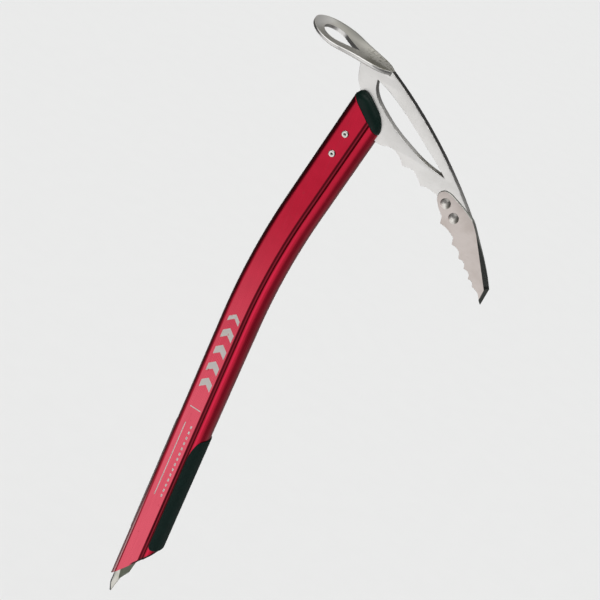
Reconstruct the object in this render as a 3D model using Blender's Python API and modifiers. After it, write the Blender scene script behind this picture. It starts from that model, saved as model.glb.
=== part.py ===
"""Lightweight mountaineering ice axe with a bent alloy shaft and a steel-tipped alloy head.

Frame: the origin is the point of the spike, +Z runs up along the grip, +X is the side of the
pick, and the left side of the axe faces -Y.
"""
import math

import bmesh
import bpy
from mathutils import Matrix, Vector

MM = 0.001

# Driving dimensions, in millimetres.
OVERALL_HEIGHT = 500.0
SHAFT_DEPTH = 28.4
SHAFT_WIDTH = 18.5
WALL = 1.3
GAP = 0.3
HEAD_THICKNESS = 5.4
TIP_THICKNESS = 3.8
TIP_PROUD = 1.0
GRIP_AXIS_X = 9.95
BEND_HEIGHT = 331.0
BEND_ANGLE = math.radians(9.85)
BEND_RADIUS = 610.0
BLANK_FOOT = -340.0
BLANK_TOP = 175.0
BORE_REACH = 20.0

# The groove along each flat side of the shaft, in the shaft's own section.
GROOVE_X = 5.2
GROOVE_HALF_WIDTH = 2.3
GROOVE_DEPTH = 1.4
REAR_CORNER = 6.0
NOSE_START = 7.6
NOSE_SETBACK = 0.3
NOSE_POWER = 2.2

# Where the shaft is cut off: points on the rear and front of each cut.
TOP_CUT_REAR = (19.4, 476.4)
TOP_CUT_FRONT = (46.0, 456.2)
FOOT_CUT_REAR = (-4.6, 18.9)
FOOT_CUT_FRONT = (24.3, 62.8)

# Adze, measured along its own sloping plate.
ADZE_ROOT = (36.0, OVERALL_HEIGHT)
ADZE_RISE = math.radians(8.6)
ADZE_ROUND_CENTRE = 42.1
ADZE_ROUND_RADIUS = 20.7
ADZE_HOLE_CENTRE = 44.8
ADZE_HOLE_RADIUS = 9.9
ADZE_HOLE_POINT = 25.3
ADZE_ROOT_THICKNESS = 3.2
ADZE_EDGE_THICKNESS = 2.0
ADZE_CROWN = 2.0
ADZE_CURL = 1.5
ADZE_CURL_START = 36.0
ADZE_DISH = 2.0
ADZE_DISH_LENGTH = 30.0
ADZE_DIVISIONS = 4

# Spine of the head: one arc from the adze root to the steel tip.
SPINE_START = (36.2, OVERALL_HEIGHT)
SPINE_END = (131.0, 433.7)
SPINE_SAGITTA = 4.9

HEAD_RIVETS_ALONG = (118.3, 101.2)
HEAD_RIVET_OFFSET = -3.5
HEAD_RIVET_RADIUS = 1.9
HEAD_RIVET_BORE = 0.6
HEAD_RIVET_FLANGE = 2.5
TANG_REAR = -9.0
TANG_FRONT = 8.0
TANG_FOOT = 86.0
INSERT_FOOT = 78.0
DOME_HEIGHT = 8.1

TIP_RIVETS = ((107.3, 439.2), (116.5, 432.9))
TIP_RIVET_RADIUS = 1.9
TIP_RIVET_HEAD = 3.7
TIP_RIVET_DOME = 1.5
TIP_RIVET_FAR_SCALE = 0.86

PAD_THICKNESS_TOP = 0.6
PAD_THICKNESS_FOOT = 1.1
PAD_TOP = 176.0
PAD_FOOT = 60.0
PAD_REAR_THICKNESS = 0.5
PAD_REAR_FOOT = 66.5
PAD_REAR_TOP = 179.0
PAD_REAR_HALF_WIDTH = 3.1

SPIKE_TANG_TOP = 92.0
SPIKE_REAR_SHARE = 0.78
SPIKE_REAR_DEPTH = 0.2
PLUG_TOP = 105.0

ALLOY = ((0.78, 0.77, 0.75), 0.34, 1.0)
STEEL = ((0.60, 0.57, 0.54), 0.32, 1.0)
RIVET_STEEL = ((0.70, 0.68, 0.65), 0.25, 1.0)
RED_ANODISED = ((0.55, 0.02, 0.06), 0.32, 1.0)
BLACK_NYLON = ((0.012, 0.03, 0.026), 0.5, 0.0)
BLACK_RUBBER = ((0.012, 0.028, 0.025), 0.62, 0.0)


def clear_scene():
    for obj in list(bpy.data.objects):
        bpy.data.objects.remove(obj, do_unlink=True)


def new_collection(name):
    collection = bpy.data.collections.new(name)
    bpy.context.scene.collection.children.link(collection)
    return collection


def make_material(name, look):
    colour, roughness, metallic = look
    material = bpy.data.materials.new(name)
    material.use_nodes = True
    shader = material.node_tree.nodes["Principled BSDF"]
    shader.inputs["Base Color"].default_value = (*colour, 1.0)
    shader.inputs["Roughness"].default_value = roughness
    shader.inputs["Metallic"].default_value = metallic
    return material


def link_mesh(name, bm, collection, smooth_angle=None):
    """Writes a bmesh, in millimetres, as a new object in metres."""
    bmesh.ops.scale(bm, vec=(MM, MM, MM), verts=bm.verts)
    bmesh.ops.recalc_face_normals(bm, faces=bm.faces)
    mesh = bpy.data.meshes.new(name)
    bm.to_mesh(mesh)
    bm.free()
    if smooth_angle is not None:
        mesh.shade_smooth()
        mesh.set_sharp_from_angle(angle=math.radians(smooth_angle))
    obj = bpy.data.objects.new(name, mesh)
    collection.objects.link(obj)
    return obj


def bridge(bm, rings):
    """Joins closed rings of vertices with quads and caps the first and last ring."""
    count = len(rings[0])
    for lower, upper in zip(rings, rings[1:]):
        for index in range(count):
            following = (index + 1) % count
            bm.faces.new((lower[index], lower[following], upper[following], upper[index]))
    bm.faces.new(rings[0])
    bm.faces.new(rings[-1])


def hide_cutter(obj):
    obj.hide_render = True
    obj.display_type = "WIRE"
    return obj


def boolean(obj, other, operation):
    modifier = obj.modifiers.new(operation.title() + " " + other.name, "BOOLEAN")
    modifier.operation = operation
    modifier.solver = "EXACT"
    modifier.object = other
    return modifier


def bevel(obj, width_mm, segments=2, angle=40.0):
    modifier = obj.modifiers.new("Rounded edges", "BEVEL")
    modifier.width = width_mm * MM
    modifier.segments = segments
    modifier.limit_method = "ANGLE"
    modifier.angle_limit = math.radians(angle)
    return modifier


# --- Flat outlines in the plane of the head -------------------------------------------------

def arc_points(start, end, sagitta, count):
    """Points of a circular arc from start to end that bulges to the left of the chord."""
    start = Vector(start)
    end = Vector(end)
    chord = end - start
    half = chord.length / 2
    radius = (half * half + sagitta * sagitta) / (2 * sagitta)
    along = chord.normalized()
    across = Vector((-along.y, along.x))
    centre = (start + end) / 2 + across * (sagitta - radius)
    half_angle = math.asin(half / radius)
    points = []
    for step in range(count + 1):
        angle = -half_angle + 2 * half_angle * step / count
        point = centre + along * (radius * math.sin(angle)) + across * (radius * math.cos(angle))
        points.append((point.x, point.y))
    return points


def plate(name, outlines, low_y, high_y, collection, resolution=4):
    """A flat plate in the XZ plane from low_y to high_y.

    Each outline is a list of (x, z) corners and (x, z, "round") points that the edge curves
    through. The first outline is the rim and the others are holes.
    """
    curve = bpy.data.curves.new(name, "CURVE")
    curve.dimensions = "2D"
    curve.fill_mode = "BOTH"
    curve.extrude = (high_y - low_y) / 2 * MM
    curve.resolution_u = resolution
    for outline in outlines:
        spline = curve.splines.new("BEZIER")
        spline.bezier_points.add(len(outline) - 1)
        spline.use_cyclic_u = True
        for point, values in zip(spline.bezier_points, outline):
            point.co = (values[0] * MM, values[1] * MM, 0.0)
            kind = "AUTO" if len(values) > 2 else "VECTOR"
            point.handle_left_type = kind
            point.handle_right_type = kind
    guide = bpy.data.objects.new(name + "_outline", curve)
    guide.rotation_euler = (math.pi / 2, 0.0, 0.0)
    guide.location = (0.0, (low_y + high_y) / 2 * MM, 0.0)
    collection.objects.link(guide)
    bpy.context.view_layer.update()
    graph = bpy.context.evaluated_depsgraph_get()
    mesh = bpy.data.meshes.new_from_object(guide.evaluated_get(graph))
    placement = guide.matrix_world.copy()
    bpy.data.objects.remove(guide, do_unlink=True)
    bm = bmesh.new()
    bm.from_mesh(mesh)
    bm.transform(placement)
    bmesh.ops.remove_doubles(bm, verts=bm.verts, dist=0.00002)
    bmesh.ops.dissolve_limit(bm, angle_limit=math.radians(0.5), verts=bm.verts, edges=bm.edges)
    bmesh.ops.recalc_face_normals(bm, faces=bm.faces)
    bm.to_mesh(mesh)
    bm.free()
    obj = bpy.data.objects.new(name, mesh)
    collection.objects.link(obj)
    return obj


def cylinder_y(name, x, z, radius, low_y, high_y, collection, sides=32):
    bm = bmesh.new()
    turn = Matrix.Rotation(math.pi / 2, 4, "X")
    move = Matrix.Translation((x, (low_y + high_y) / 2, z))
    bmesh.ops.create_cone(bm, cap_ends=True, segments=sides, radius1=radius, radius2=radius,
                          depth=high_y - low_y, matrix=move @ turn)
    return link_mesh(name, bm, collection, 40)


def turned_y(name, x, z, profile, collection, sides=32):
    """A turned piece about an axis along Y; the profile holds (radius, y) from -Y to +Y."""
    mesh = bpy.data.meshes.new(name)
    bm = bmesh.new()
    previous = None
    for radius, y in reversed(profile):
        vertex = bm.verts.new((radius * MM, 0.0, y * MM))
        if previous is not None:
            bm.edges.new((previous, vertex))
        previous = vertex
    bm.to_mesh(mesh)
    bm.free()
    obj = bpy.data.objects.new(name, mesh)
    obj.rotation_euler = (-math.pi / 2, 0.0, 0.0)
    obj.location = (x * MM, 0.0, z * MM)
    screw = obj.modifiers.new("Turned", "SCREW")
    screw.axis = "Z"
    screw.steps = sides
    screw.render_steps = sides
    screw.use_merge_vertices = True
    screw.merge_threshold = 0.00001
    screw.use_smooth_shade = True
    collection.objects.link(obj)
    return obj


# --- The shaft's section and its bent centre line ---------------------------------------------

def groove_dip(x):
    distance = abs(x - GROOVE_X) / GROOVE_HALF_WIDTH
    if distance >= 1.0:
        return 0.0
    return GROOVE_DEPTH * 0.5 * (1.0 + math.cos(math.pi * distance))


def side_half_width(x, grooved=True):
    """Half the shaft's width at a distance x in front of its centre line."""
    half_depth = SHAFT_DEPTH / 2
    half_width = SHAFT_WIDTH / 2
    if x > NOSE_START:
        along = min(1.0, (x - NOSE_START) / (half_depth - NOSE_START))
        width = (half_width - NOSE_SETBACK) * (1.0 - along ** NOSE_POWER) ** (1 / NOSE_POWER)
    elif x > -half_depth + REAR_CORNER:
        width = half_width - NOSE_SETBACK * max(0.0, (x - GROOVE_X) / (NOSE_START - GROOVE_X))
    else:
        along = (-half_depth + REAR_CORNER - x) / REAR_CORNER
        along = min(1.0, along)
        width = half_width - REAR_CORNER + REAR_CORNER * math.sqrt(1.0 - along * along)
    return width - groove_dip(x) if grooved else width


def section_outline(grooved=True):
    """The shaft's outer section as (x, y) points, from the nose round the left side."""
    half_depth = SHAFT_DEPTH / 2
    nose = [half_depth - (half_depth - NOSE_START) * (1 - math.cos(math.radians(angle)))
            for angle in (0, 20, 40, 60, 78)]
    groove = [GROOVE_X + GROOVE_HALF_WIDTH * part for part in (1.0, 0.6, 0.25, -0.25, -0.6, -1.0)]
    flat = [1.0, -4.0]
    corner = [-half_depth + REAR_CORNER - REAR_CORNER * math.sin(math.radians(angle))
              for angle in (0, 22, 45, 67, 90)]
    stations = nose + groove + flat + corner
    left = [(x, -side_half_width(x, grooved)) for x in stations]
    right = [(x, -y) for x, y in reversed(left[1:])]
    return left + right


def offset_section(outline, distance):
    """Moves each point of the section outwards along its normal."""
    moved = []
    count = len(outline)
    for index, point in enumerate(outline):
        before = Vector(outline[index - 1])
        after = Vector(outline[(index + 1) % count])
        tangent = (after - before).normalized()
        normal = Vector((-tangent.y, tangent.x))
        moved.append((point[0] + normal.x * distance, point[1] + normal.y * distance))
    return moved


def shaft_frame(along):
    """The centre line point and its tangent, a distance along from the bend's middle."""
    middle = Vector((GRIP_AXIS_X, 0.0, BEND_HEIGHT))
    tangent_length = BEND_RADIUS * math.tan(BEND_ANGLE / 2)
    arc_half = BEND_RADIUS * BEND_ANGLE / 2
    if along <= -arc_half:
        run = -along - arc_half + tangent_length
        return middle - Vector((0.0, 0.0, run)), Vector((0.0, 0.0, 1.0))
    upper = Vector((math.sin(BEND_ANGLE), 0.0, math.cos(BEND_ANGLE)))
    if along >= arc_half:
        run = along - arc_half + tangent_length
        return middle + upper * run, upper
    angle = (along + arc_half) / BEND_RADIUS
    start = middle - Vector((0.0, 0.0, tangent_length))
    point = start + Vector((BEND_RADIUS * (1 - math.cos(angle)), 0.0,
                            BEND_RADIUS * math.sin(angle)))
    return point, Vector((math.sin(angle), 0.0, math.cos(angle)))


def place_on_shaft(x, y, along):
    """A point x in front of the centre line and y to its right, at a station along it."""
    point, tangent = shaft_frame(along)
    forward = Vector((tangent.z, 0.0, -tangent.x))
    return point + forward * x + Vector((0.0, y, 0.0))


def grip_station(height):
    """The station along the centre line at a height in the straight grip below the bend."""
    tangent_length = BEND_RADIUS * math.tan(BEND_ANGLE / 2)
    return height - BEND_HEIGHT + tangent_length - BEND_RADIUS * BEND_ANGLE / 2


def stations_between(low, high, bend_steps=9):
    arc_half = BEND_RADIUS * BEND_ANGLE / 2
    steps = [-arc_half + 2 * arc_half * step / bend_steps for step in range(bend_steps + 1)]
    inside = [step for step in steps if low + 1.0 < step < high - 1.0]
    return [low] + inside + [high]


def sweep(name, outline, low, high, collection):
    """Sweeps a section, or one that a function gives for each station, along the centre line."""
    bm = bmesh.new()
    rings = []
    for along in stations_between(low, high):
        points = outline(along) if callable(outline) else outline
        rings.append([bm.verts.new(place_on_shaft(x, y, along)) for x, y in points])
    bridge(bm, rings)
    return link_mesh(name, bm, collection, 35)


def drill(obj, name, x, z, radius, cutters):
    """Bores right through an object along Y."""
    bore = cylinder_y(name, x, z, radius, -BORE_REACH, BORE_REACH, cutters)
    boolean(obj, hide_cutter(bore), "DIFFERENCE")


def drill_head_rivets(obj, cutters):
    for number, along in enumerate(HEAD_RIVETS_ALONG, 1):
        x, z = tang_corner(HEAD_RIVET_OFFSET, along)
        drill(obj, "%s_rivet_bore_%d" % (obj.name, number), x, z, HEAD_RIVET_RADIUS + GAP, cutters)


def drill_tip_rivets(obj, cutters):
    for number, (x, z) in enumerate(TIP_RIVETS, 1):
        drill(obj, "%s_tip_bore_%d" % (obj.name, number), x, z, TIP_RIVET_RADIUS + GAP, cutters)


def cut_block(name, rear, front, side, collection, reach=90.0):
    """A block whose one face is the cut through rear and front; side is +1 above, -1 below."""
    rear = Vector(rear)
    front = Vector(front)
    along = (front - rear).normalized()
    across = Vector((-along.y, along.x)) * side
    corners = [rear - along * reach, front + along * reach]
    corners += [corners[1] + across * reach, corners[0] + across * reach]
    outline = [(corner.x, corner.y) for corner in corners]
    return hide_cutter(plate(name, [outline], -40.0, 40.0, collection))


def shifted_cut(rear, front, distance):
    """The same cut moved up along its normal."""
    rear = Vector(rear)
    front = Vector(front)
    along = (front - rear).normalized()
    across = Vector((-along.y, along.x)) * distance
    return tuple(rear + across), tuple(front + across)


# --- Outlines of the head ------------------------------------------------------------------

def tang_corner(x, along):
    point = place_on_shaft(x, 0.0, along)
    return (point.x, point.z)


def head_outline():
    """The alloy web: spine, steel tip's seat, scalloped lower edge, tang and rear edge."""
    spine = [(x, z, "round") for x, z in arc_points(SPINE_START, SPINE_END, SPINE_SAGITTA, 8)]
    seat = [(114.6, 427.4), (110.4, 429.5, "round"), (105.6, 434.6, "round"), (101.9, 439.8)]
    lower_edge = [(94.9, 441.6, "round"), (90.6, 441.7, "round"), (86.5, 440.6),
                  (82.1, 444.8, "round"), (76.8, 447.5, "round"), (69.9, 446.4),
                  (65.6, 450.7, "round"), (58.7, 453.5, "round"), (49.8, 451.2)]
    tang = [tang_corner(TANG_FRONT, 125.0), tang_corner(TANG_FRONT, TANG_FOOT + 5.0),
            tang_corner(TANG_FRONT - 5.0, TANG_FOOT), tang_corner(TANG_REAR + 5.0, TANG_FOOT),
            tang_corner(TANG_REAR, TANG_FOOT + 5.0), tang_corner(TANG_REAR, 140.0)]
    rear = [(22.1, 478.1, "round"), (18.1, 483.3, "round"), (15.7, 489.8, "round"),
            (14.6, 494.5, "round"), (14.1, 499.0)]
    spine[0] = SPINE_START
    spine[-1] = SPINE_END
    return spine + seat + lower_edge + tang + rear


def head_hole():
    """The long curved opening between the spine and the lower edge."""
    lower = [(30.1, 490.3), (31.5, 484.5, "round"), (36.1, 478.3, "round"), (43.1, 473.2, "round"),
             (54.6, 466.4, "round"), (67.7, 460.9, "round"), (83.0, 456.0, "round"), (99.2, 453.8)]
    upper = [(90.0, 460.0, "round"), (78.2, 466.9, "round"), (65.0, 474.7, "round"),
             (51.2, 482.1, "round"), (40.1, 487.2, "round")]
    return lower + upper


def tip_outline(grow=0.0):
    """The steel tip: round lobe, saw teeth, point and spine. grow widens the lobe for its seat."""
    lobe = [(128.4 + grow, 438.2 + grow), (120.3, 442.3 + grow, "round"), (113.0, 445.0 + grow, "round"),
            (106.6, 446.9 + grow, "round"), (102.1, 445.8 + grow, "round"),
            (100.2 - grow, 441.3, "round"), (103.5 - grow, 435.0 - grow)]
    teeth = [(108.8, 429.9), (109.8, 425.1), (115.3, 424.2, "round"), (122.0, 420.9), (123.2, 416.1),
             (127.0, 415.7, "round"), (130.0, 414.0), (131.5, 409.7), (134.6, 409.8, "round"),
             (137.0, 408.2), (137.6, 405.3), (140.5, 405.2, "round"), (142.6, 403.6),
             (143.4, 400.4), (145.8, 400.5, "round"), (147.3, 399.3), (148.2, 397.2),
             (153.2, 395.2, "round"), (158.2, 387.4)]
    spine = [(158.8, 400.5), (152.2, 410.3, "round"), (142.2, 422.8, "round")]
    return lobe + teeth + spine


# --- Sub-parts --------------------------------------------------------------------------------

def build_shaft(parts, cutters):
    """Bent alloy tube, cut off obliquely at both ends, with bores for the head rivets."""
    outer = section_outline()
    shaft = sweep("shaft", outer, BLANK_FOOT, BLANK_TOP, parts)
    hollow = sweep("shaft_hollow", offset_section(outer, -WALL), BLANK_FOOT - BORE_REACH,
                   BLANK_TOP + BORE_REACH, cutters)
    boolean(shaft, hide_cutter(hollow), "DIFFERENCE")
    above = cut_block("shaft_top_cut", TOP_CUT_REAR, TOP_CUT_FRONT, 1, cutters)
    below = cut_block("shaft_foot_cut", FOOT_CUT_REAR, FOOT_CUT_FRONT, -1, cutters)
    boolean(shaft, above, "DIFFERENCE")
    boolean(shaft, below, "DIFFERENCE")
    slot_outline = [tang_corner(0.0, 121.0), (60.0, 450.0), (60.0, 470.0), tang_corner(0.0, 145.0)]
    half_slot = HEAD_THICKNESS / 2 + GAP
    slot = hide_cutter(plate("shaft_web_slot", [slot_outline], -half_slot, half_slot, cutters))
    boolean(shaft, slot, "DIFFERENCE")
    drill_head_rivets(shaft, cutters)


def adze_half_width(along):
    """Half the plate's width, between the points of its rim."""
    rim = adze_rim()
    for (start, narrow), (end, wide) in zip(rim, rim[1:]):
        if along <= end:
            return narrow + (wide - narrow) * max(0.0, along - start) / (end - start)
    return rim[-1][1]


def adze_sag(along, across):
    """How far the plate falls below its root's slope: low sides, a drooping end, a dished middle."""
    width = adze_half_width(along)
    side = ADZE_CROWN * (width / ADZE_ROUND_RADIUS) ** 2
    droop = max(0.0, along - ADZE_CURL_START) / (ADZE_ROUND_CENTRE + ADZE_ROUND_RADIUS - ADZE_CURL_START)
    rise = min(1.0, max(0.0, along / ADZE_DISH_LENGTH))
    end = min(1.0, max(0.0, along - ADZE_ROUND_CENTRE) / ADZE_ROUND_RADIUS)
    depth = ADZE_DISH * rise * rise * (3 - 2 * rise) * (1 - end * end)
    return side + ADZE_CURL * droop * droop + depth * (1 - min(1.0, abs(across) / width) ** 2)


def adze_point(along, across, lift):
    """A point on the adze plate; along runs back from the adze root."""
    slope = Vector((-math.cos(ADZE_RISE), 0.0, math.sin(ADZE_RISE)))
    normal = Vector((math.sin(ADZE_RISE), 0.0, math.cos(ADZE_RISE)))
    root = Vector((ADZE_ROOT[0], 0.0, ADZE_ROOT[1]))
    return root + slope * along + Vector((0.0, across, 0.0)) + normal * (lift - adze_sag(along, across))


def tangent_angle(centre, radius, point):
    """Angle at which a line from a point on the axis touches the circle."""
    return math.acos(radius / (centre - point))


def adze_rim():
    """Half of the teardrop's rim, root to round end, as (along, across) points."""
    root = [(-1.5, 1.2), (-1.0, 2.9), (1.0, 5.4), (4.0, 8.2), (8.5, 10.6), (15.0, 12.6), (24.0, 15.0),
            (31.0, 17.6)]
    start = math.radians(112.0)
    steps = 12
    round_end = []
    for step in range(steps):
        angle = start * (1 - step / steps)
        round_end.append((ADZE_ROUND_CENTRE + ADZE_ROUND_RADIUS * math.cos(angle),
                          ADZE_ROUND_RADIUS * math.sin(angle)))
    return root + round_end + [(ADZE_ROUND_CENTRE + ADZE_ROUND_RADIUS - 0.05, 1.4)]


def adze_hole_rim():
    """Half of the teardrop hole's rim, from its point to its round end."""
    start = math.pi - tangent_angle(ADZE_HOLE_CENTRE, ADZE_HOLE_RADIUS, ADZE_HOLE_POINT)
    steps = 12
    points = [(ADZE_HOLE_POINT, 0.0)]
    for step in range(steps + 1):
        angle = start * (1 - step / steps)
        points.append((ADZE_HOLE_CENTRE + ADZE_HOLE_RADIUS * math.cos(angle),
                       ADZE_HOLE_RADIUS * math.sin(angle)))
    return points


def adze_thickness(along):
    end = ADZE_ROUND_CENTRE + ADZE_ROUND_RADIUS
    part = min(1.0, max(0.0, (along - 20.0) / (end - 20.0)))
    return ADZE_ROOT_THICKNESS + (ADZE_EDGE_THICKNESS - ADZE_ROOT_THICKNESS) * part


def full_loop(half):
    """Mirrors a half rim whose first and last points lie on the axis."""
    return half + [(along, -across) for along, across in reversed(half[1:-1])]


def build_adze_plate(collection):
    """The teardrop plate, lofted through rows across it so that it can crown and curl."""
    bm = bmesh.new()
    rings = []
    for along, width in adze_rim():
        row = [width * part / ADZE_DIVISIONS for part in range(-ADZE_DIVISIONS, ADZE_DIVISIONS + 1)]
        top = [adze_point(along, across, 0.0) for across in row]
        under = [adze_point(along, across, -adze_thickness(along)) for across in reversed(row)]
        rings.append([bm.verts.new(point) for point in top + under])
    bridge(bm, rings)
    return hide_cutter(link_mesh("adze_plate", bm, collection))


def build_adze_hole(collection):
    """A prism that cuts the teardrop hole through the plate."""
    bm = bmesh.new()
    loop = full_loop(adze_hole_rim())
    rings = [[bm.verts.new(adze_point(along, across, lift)) for along, across in loop]
             for lift in (BORE_REACH, -BORE_REACH)]
    bridge(bm, rings)
    return hide_cutter(link_mesh("adze_hole", bm, collection))


def build_head(parts, cutters):
    """One-piece alloy head: web, spine, tang and the adze plate across the top."""
    half = HEAD_THICKNESS / 2
    head = plate("head", [head_outline(), head_hole()], -half, half, parts)
    boolean(head, build_adze_plate(cutters), "UNION")
    boolean(head, build_adze_hole(cutters), "DIFFERENCE")
    seat_face = -half - TIP_PROUD + TIP_THICKNESS + GAP
    seat = hide_cutter(plate("tip_seat", [tip_outline(GAP)], -half - 5.0, seat_face, cutters))
    boolean(head, seat, "DIFFERENCE")
    drill_tip_rivets(head, cutters)
    drill_head_rivets(head, cutters)


def build_pick_tip(parts, cutters):
    """Hardened steel tip: lapped over the alloy, toothed below, ground along spine and point."""
    near = -HEAD_THICKNESS / 2 - TIP_PROUD
    tip = plate("pick_tip", [tip_outline()], near, near + TIP_THICKNESS, parts)
    drill_tip_rivets(tip, cutters)


def dome_profile(radius, height, steps=5):
    """Radii and heights of a low dome from its rim to its crown."""
    points = []
    for step in range(steps + 1):
        angle = math.pi / 2 * step / steps
        points.append((radius * math.cos(angle), height * math.sin(angle)))
    points[-1] = (0.0, height)
    return points


def build_tip_rivets(parts):
    near = -HEAD_THICKNESS / 2 - TIP_PROUD - GAP
    far = HEAD_THICKNESS / 2 + GAP
    dome = dome_profile(TIP_RIVET_HEAD, TIP_RIVET_DOME)
    for name, (x, z) in zip(("pick_rivet_upper", "pick_rivet_lower"), TIP_RIVETS):
        profile = [(radius, near - height) for radius, height in reversed(dome)]
        profile += [(TIP_RIVET_RADIUS, near), (TIP_RIVET_RADIUS, far)]
        profile += [(radius * TIP_RIVET_FAR_SCALE, far + height * TIP_RIVET_FAR_SCALE)
                    for radius, height in dome]
        turned_y(name, x, z, profile, parts)


def build_head_rivets(parts):
    """Tubular rivets through both walls of the shaft, the insert and the tang."""
    face = SHAFT_WIDTH / 2 + GAP
    for name, along in zip(("head_rivet_upper", "head_rivet_lower"), HEAD_RIVETS_ALONG):
        x, z = tang_corner(HEAD_RIVET_OFFSET, along)
        rim = [(HEAD_RIVET_FLANGE, face), (HEAD_RIVET_FLANGE - 0.2, face + 0.35),
               (HEAD_RIVET_FLANGE - 0.8, face + 0.6), (HEAD_RIVET_BORE + 0.4, face + 0.55),
               (HEAD_RIVET_BORE, face + 0.2)]
        far_side = [(HEAD_RIVET_RADIUS, face)] + rim
        profile = [(radius, -y) for radius, y in reversed(far_side)] + far_side
        profile.append(profile[0])
        turned_y(name, x, z, profile, parts, 24)


def oblique_ring(outline, rear, front):
    """Where the upper shaft's outline meets a cut, as points in space."""
    tangent = Vector((math.sin(BEND_ANGLE), 0.0, math.cos(BEND_ANGLE)))
    along = (Vector(front) - Vector(rear)).normalized()
    normal = Vector((-along.y, 0.0, along.x))
    level = normal.dot(Vector((rear[0], 0.0, rear[1])))
    points = []
    for x, y in outline:
        base = place_on_shaft(x, y, 110.0)
        points.append(base + tangent * ((level - normal.dot(base)) / normal.dot(tangent)))
    return points


def build_insert_body(name, collection):
    """The moulded insert: a plug inside the tube and a domed end over the oblique cut."""
    inner = offset_section(section_outline(), -WALL - GAP)
    rear, front = shifted_cut(TOP_CUT_REAR, TOP_CUT_FRONT, GAP)
    flush = oblique_ring(section_outline(grooved=False), rear, front)
    neck = oblique_ring(inner, rear, front)
    along = (Vector(front) - Vector(rear)).normalized()
    slope = Vector((along.x, 0.0, along.y))
    normal = Vector((-along.y, 0.0, along.x))
    centre = sum(flush, Vector()) / len(flush)
    reach = max(abs((point - centre).dot(slope)) for point in flush)
    bm = bmesh.new()
    rings = [[place_on_shaft(x, y, INSERT_FOOT) for x, y in inner], neck, flush]
    for scale in (0.985, 0.95, 0.88, 0.76, 0.6, 0.4, 0.15):
        ring = []
        for point in flush:
            lean = (point - centre).dot(slope) / reach
            power = 2.8 - 1.4 * lean
            height = DOME_HEIGHT * (1 - scale ** power) ** (1 / power)
            ring.append(centre + (point - centre) * scale + normal * height)
        rings.append(ring)
    bridge(bm, [[bm.verts.new(point) for point in ring] for ring in rings])
    return link_mesh(name, bm, collection, 40)


def build_insert(parts, cutters):
    """Left and right halves of the insert, clamped either side of the tang."""
    half_slot = HEAD_THICKNESS / 2 + GAP
    tang = hide_cutter(plate("insert_tang_slot", [insert_slot_outline()], -half_slot, half_slot,
                             cutters))
    for name, side in (("head_insert_left", -1), ("head_insert_right", 1)):
        insert = build_insert_body(name, parts)
        keep = box_cutter(name + "_keep", (-60.0, 100.0), sorted((side * GAP / 2, side * 30.0)),
                          (380.0, 540.0), cutters)
        boolean(insert, keep, "INTERSECT")
        boolean(insert, tang, "DIFFERENCE")
        drill_head_rivets(insert, cutters)


def insert_slot_outline():
    """The web and tang outline with a working gap all round, where it passes the insert."""
    spread = GAP + 0.1
    return [tang_corner(TANG_REAR - spread, 137.0), tang_corner(TANG_REAR - 1.3, 140.0),
            (20.9, 478.4), (15.0, 490.0), (60.0, 490.0),
            (60.0, 450.6), (49.0, 450.6), tang_corner(TANG_FRONT + spread, 123.5),
            tang_corner(TANG_FRONT + spread, TANG_FOOT - spread),
            tang_corner(TANG_REAR - spread, TANG_FOOT - spread)]


def box_cutter(name, x_range, y_range, z_range, collection):
    """A box cutter between the given limits."""
    bm = bmesh.new()
    size = [high - low for low, high in (x_range, y_range, z_range)]
    middle = [(high + low) / 2 for low, high in (x_range, y_range, z_range)]
    placement = Matrix.Translation(middle) @ Matrix.Diagonal((*size, 1.0))
    bmesh.ops.create_cube(bm, size=1.0, matrix=placement)
    return hide_cutter(link_mesh(name, bm, collection))


def nose_outline(inner_offset, outer_offset, first_x):
    """A strip of the section's nose in front of first_x, between two offsets."""
    outline = section_outline()
    inner = [point for point, base in zip(offset_section(outline, inner_offset), outline)
             if base[0] > first_x]
    outer = [point for point, base in zip(offset_section(outline, outer_offset), outline)
             if base[0] > first_x]
    split = next(index for index, point in enumerate(inner) if point[1] > 0.01)
    inner = inner[split:] + inner[:split]
    outer = outer[split:] + outer[:split]
    return outer + list(reversed(inner))


def build_grip_front(parts, cutters):
    """Rubber pad wrapped round the shaft's nose at the hand's place."""
    def strip(along):
        part = (along - grip_station(PAD_FOOT)) / (PAD_TOP - PAD_FOOT)
        thickness = PAD_THICKNESS_FOOT + (PAD_THICKNESS_TOP - PAD_THICKNESS_FOOT) * part
        return nose_outline(GAP, GAP + thickness, NOSE_START - 0.6)

    pad = sweep("grip_pad_front", strip, grip_station(PAD_FOOT), grip_station(PAD_TOP + 3.0), parts)
    side_view = [(14.2, 131.0, "round"), (15.2, 149.0, "round"), (17.5, 164.0, "round"),
                 (20.0, 171.0, "round"), (24.2, 175.3, "round"), (40.0, 176.0), (40.0, 65.2),
                 (26.0, 65.2), (19.2, 63.6, "round"), (14.9, 69.5, "round")]
    side = hide_cutter(plate("grip_front_side", [side_view], -30.0, 30.0, cutters))
    boolean(pad, side, "INTERSECT")


def build_grip_rear(parts):
    """Thin rubber strip let on to the flat back of the shaft."""
    bm = bmesh.new()
    back = GRIP_AXIS_X - SHAFT_DEPTH / 2 - GAP
    size = (PAD_REAR_THICKNESS, 2 * PAD_REAR_HALF_WIDTH, PAD_REAR_TOP - PAD_REAR_FOOT)
    middle = (back - PAD_REAR_THICKNESS / 2, 0.0, (PAD_REAR_TOP + PAD_REAR_FOOT) / 2)
    bmesh.ops.create_cube(bm, size=1.0, matrix=Matrix.Translation(middle) @ Matrix.Diagonal((*size, 1)))
    bevel(link_mesh("grip_pad_rear", bm, parts, 35), 0.3)


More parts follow.
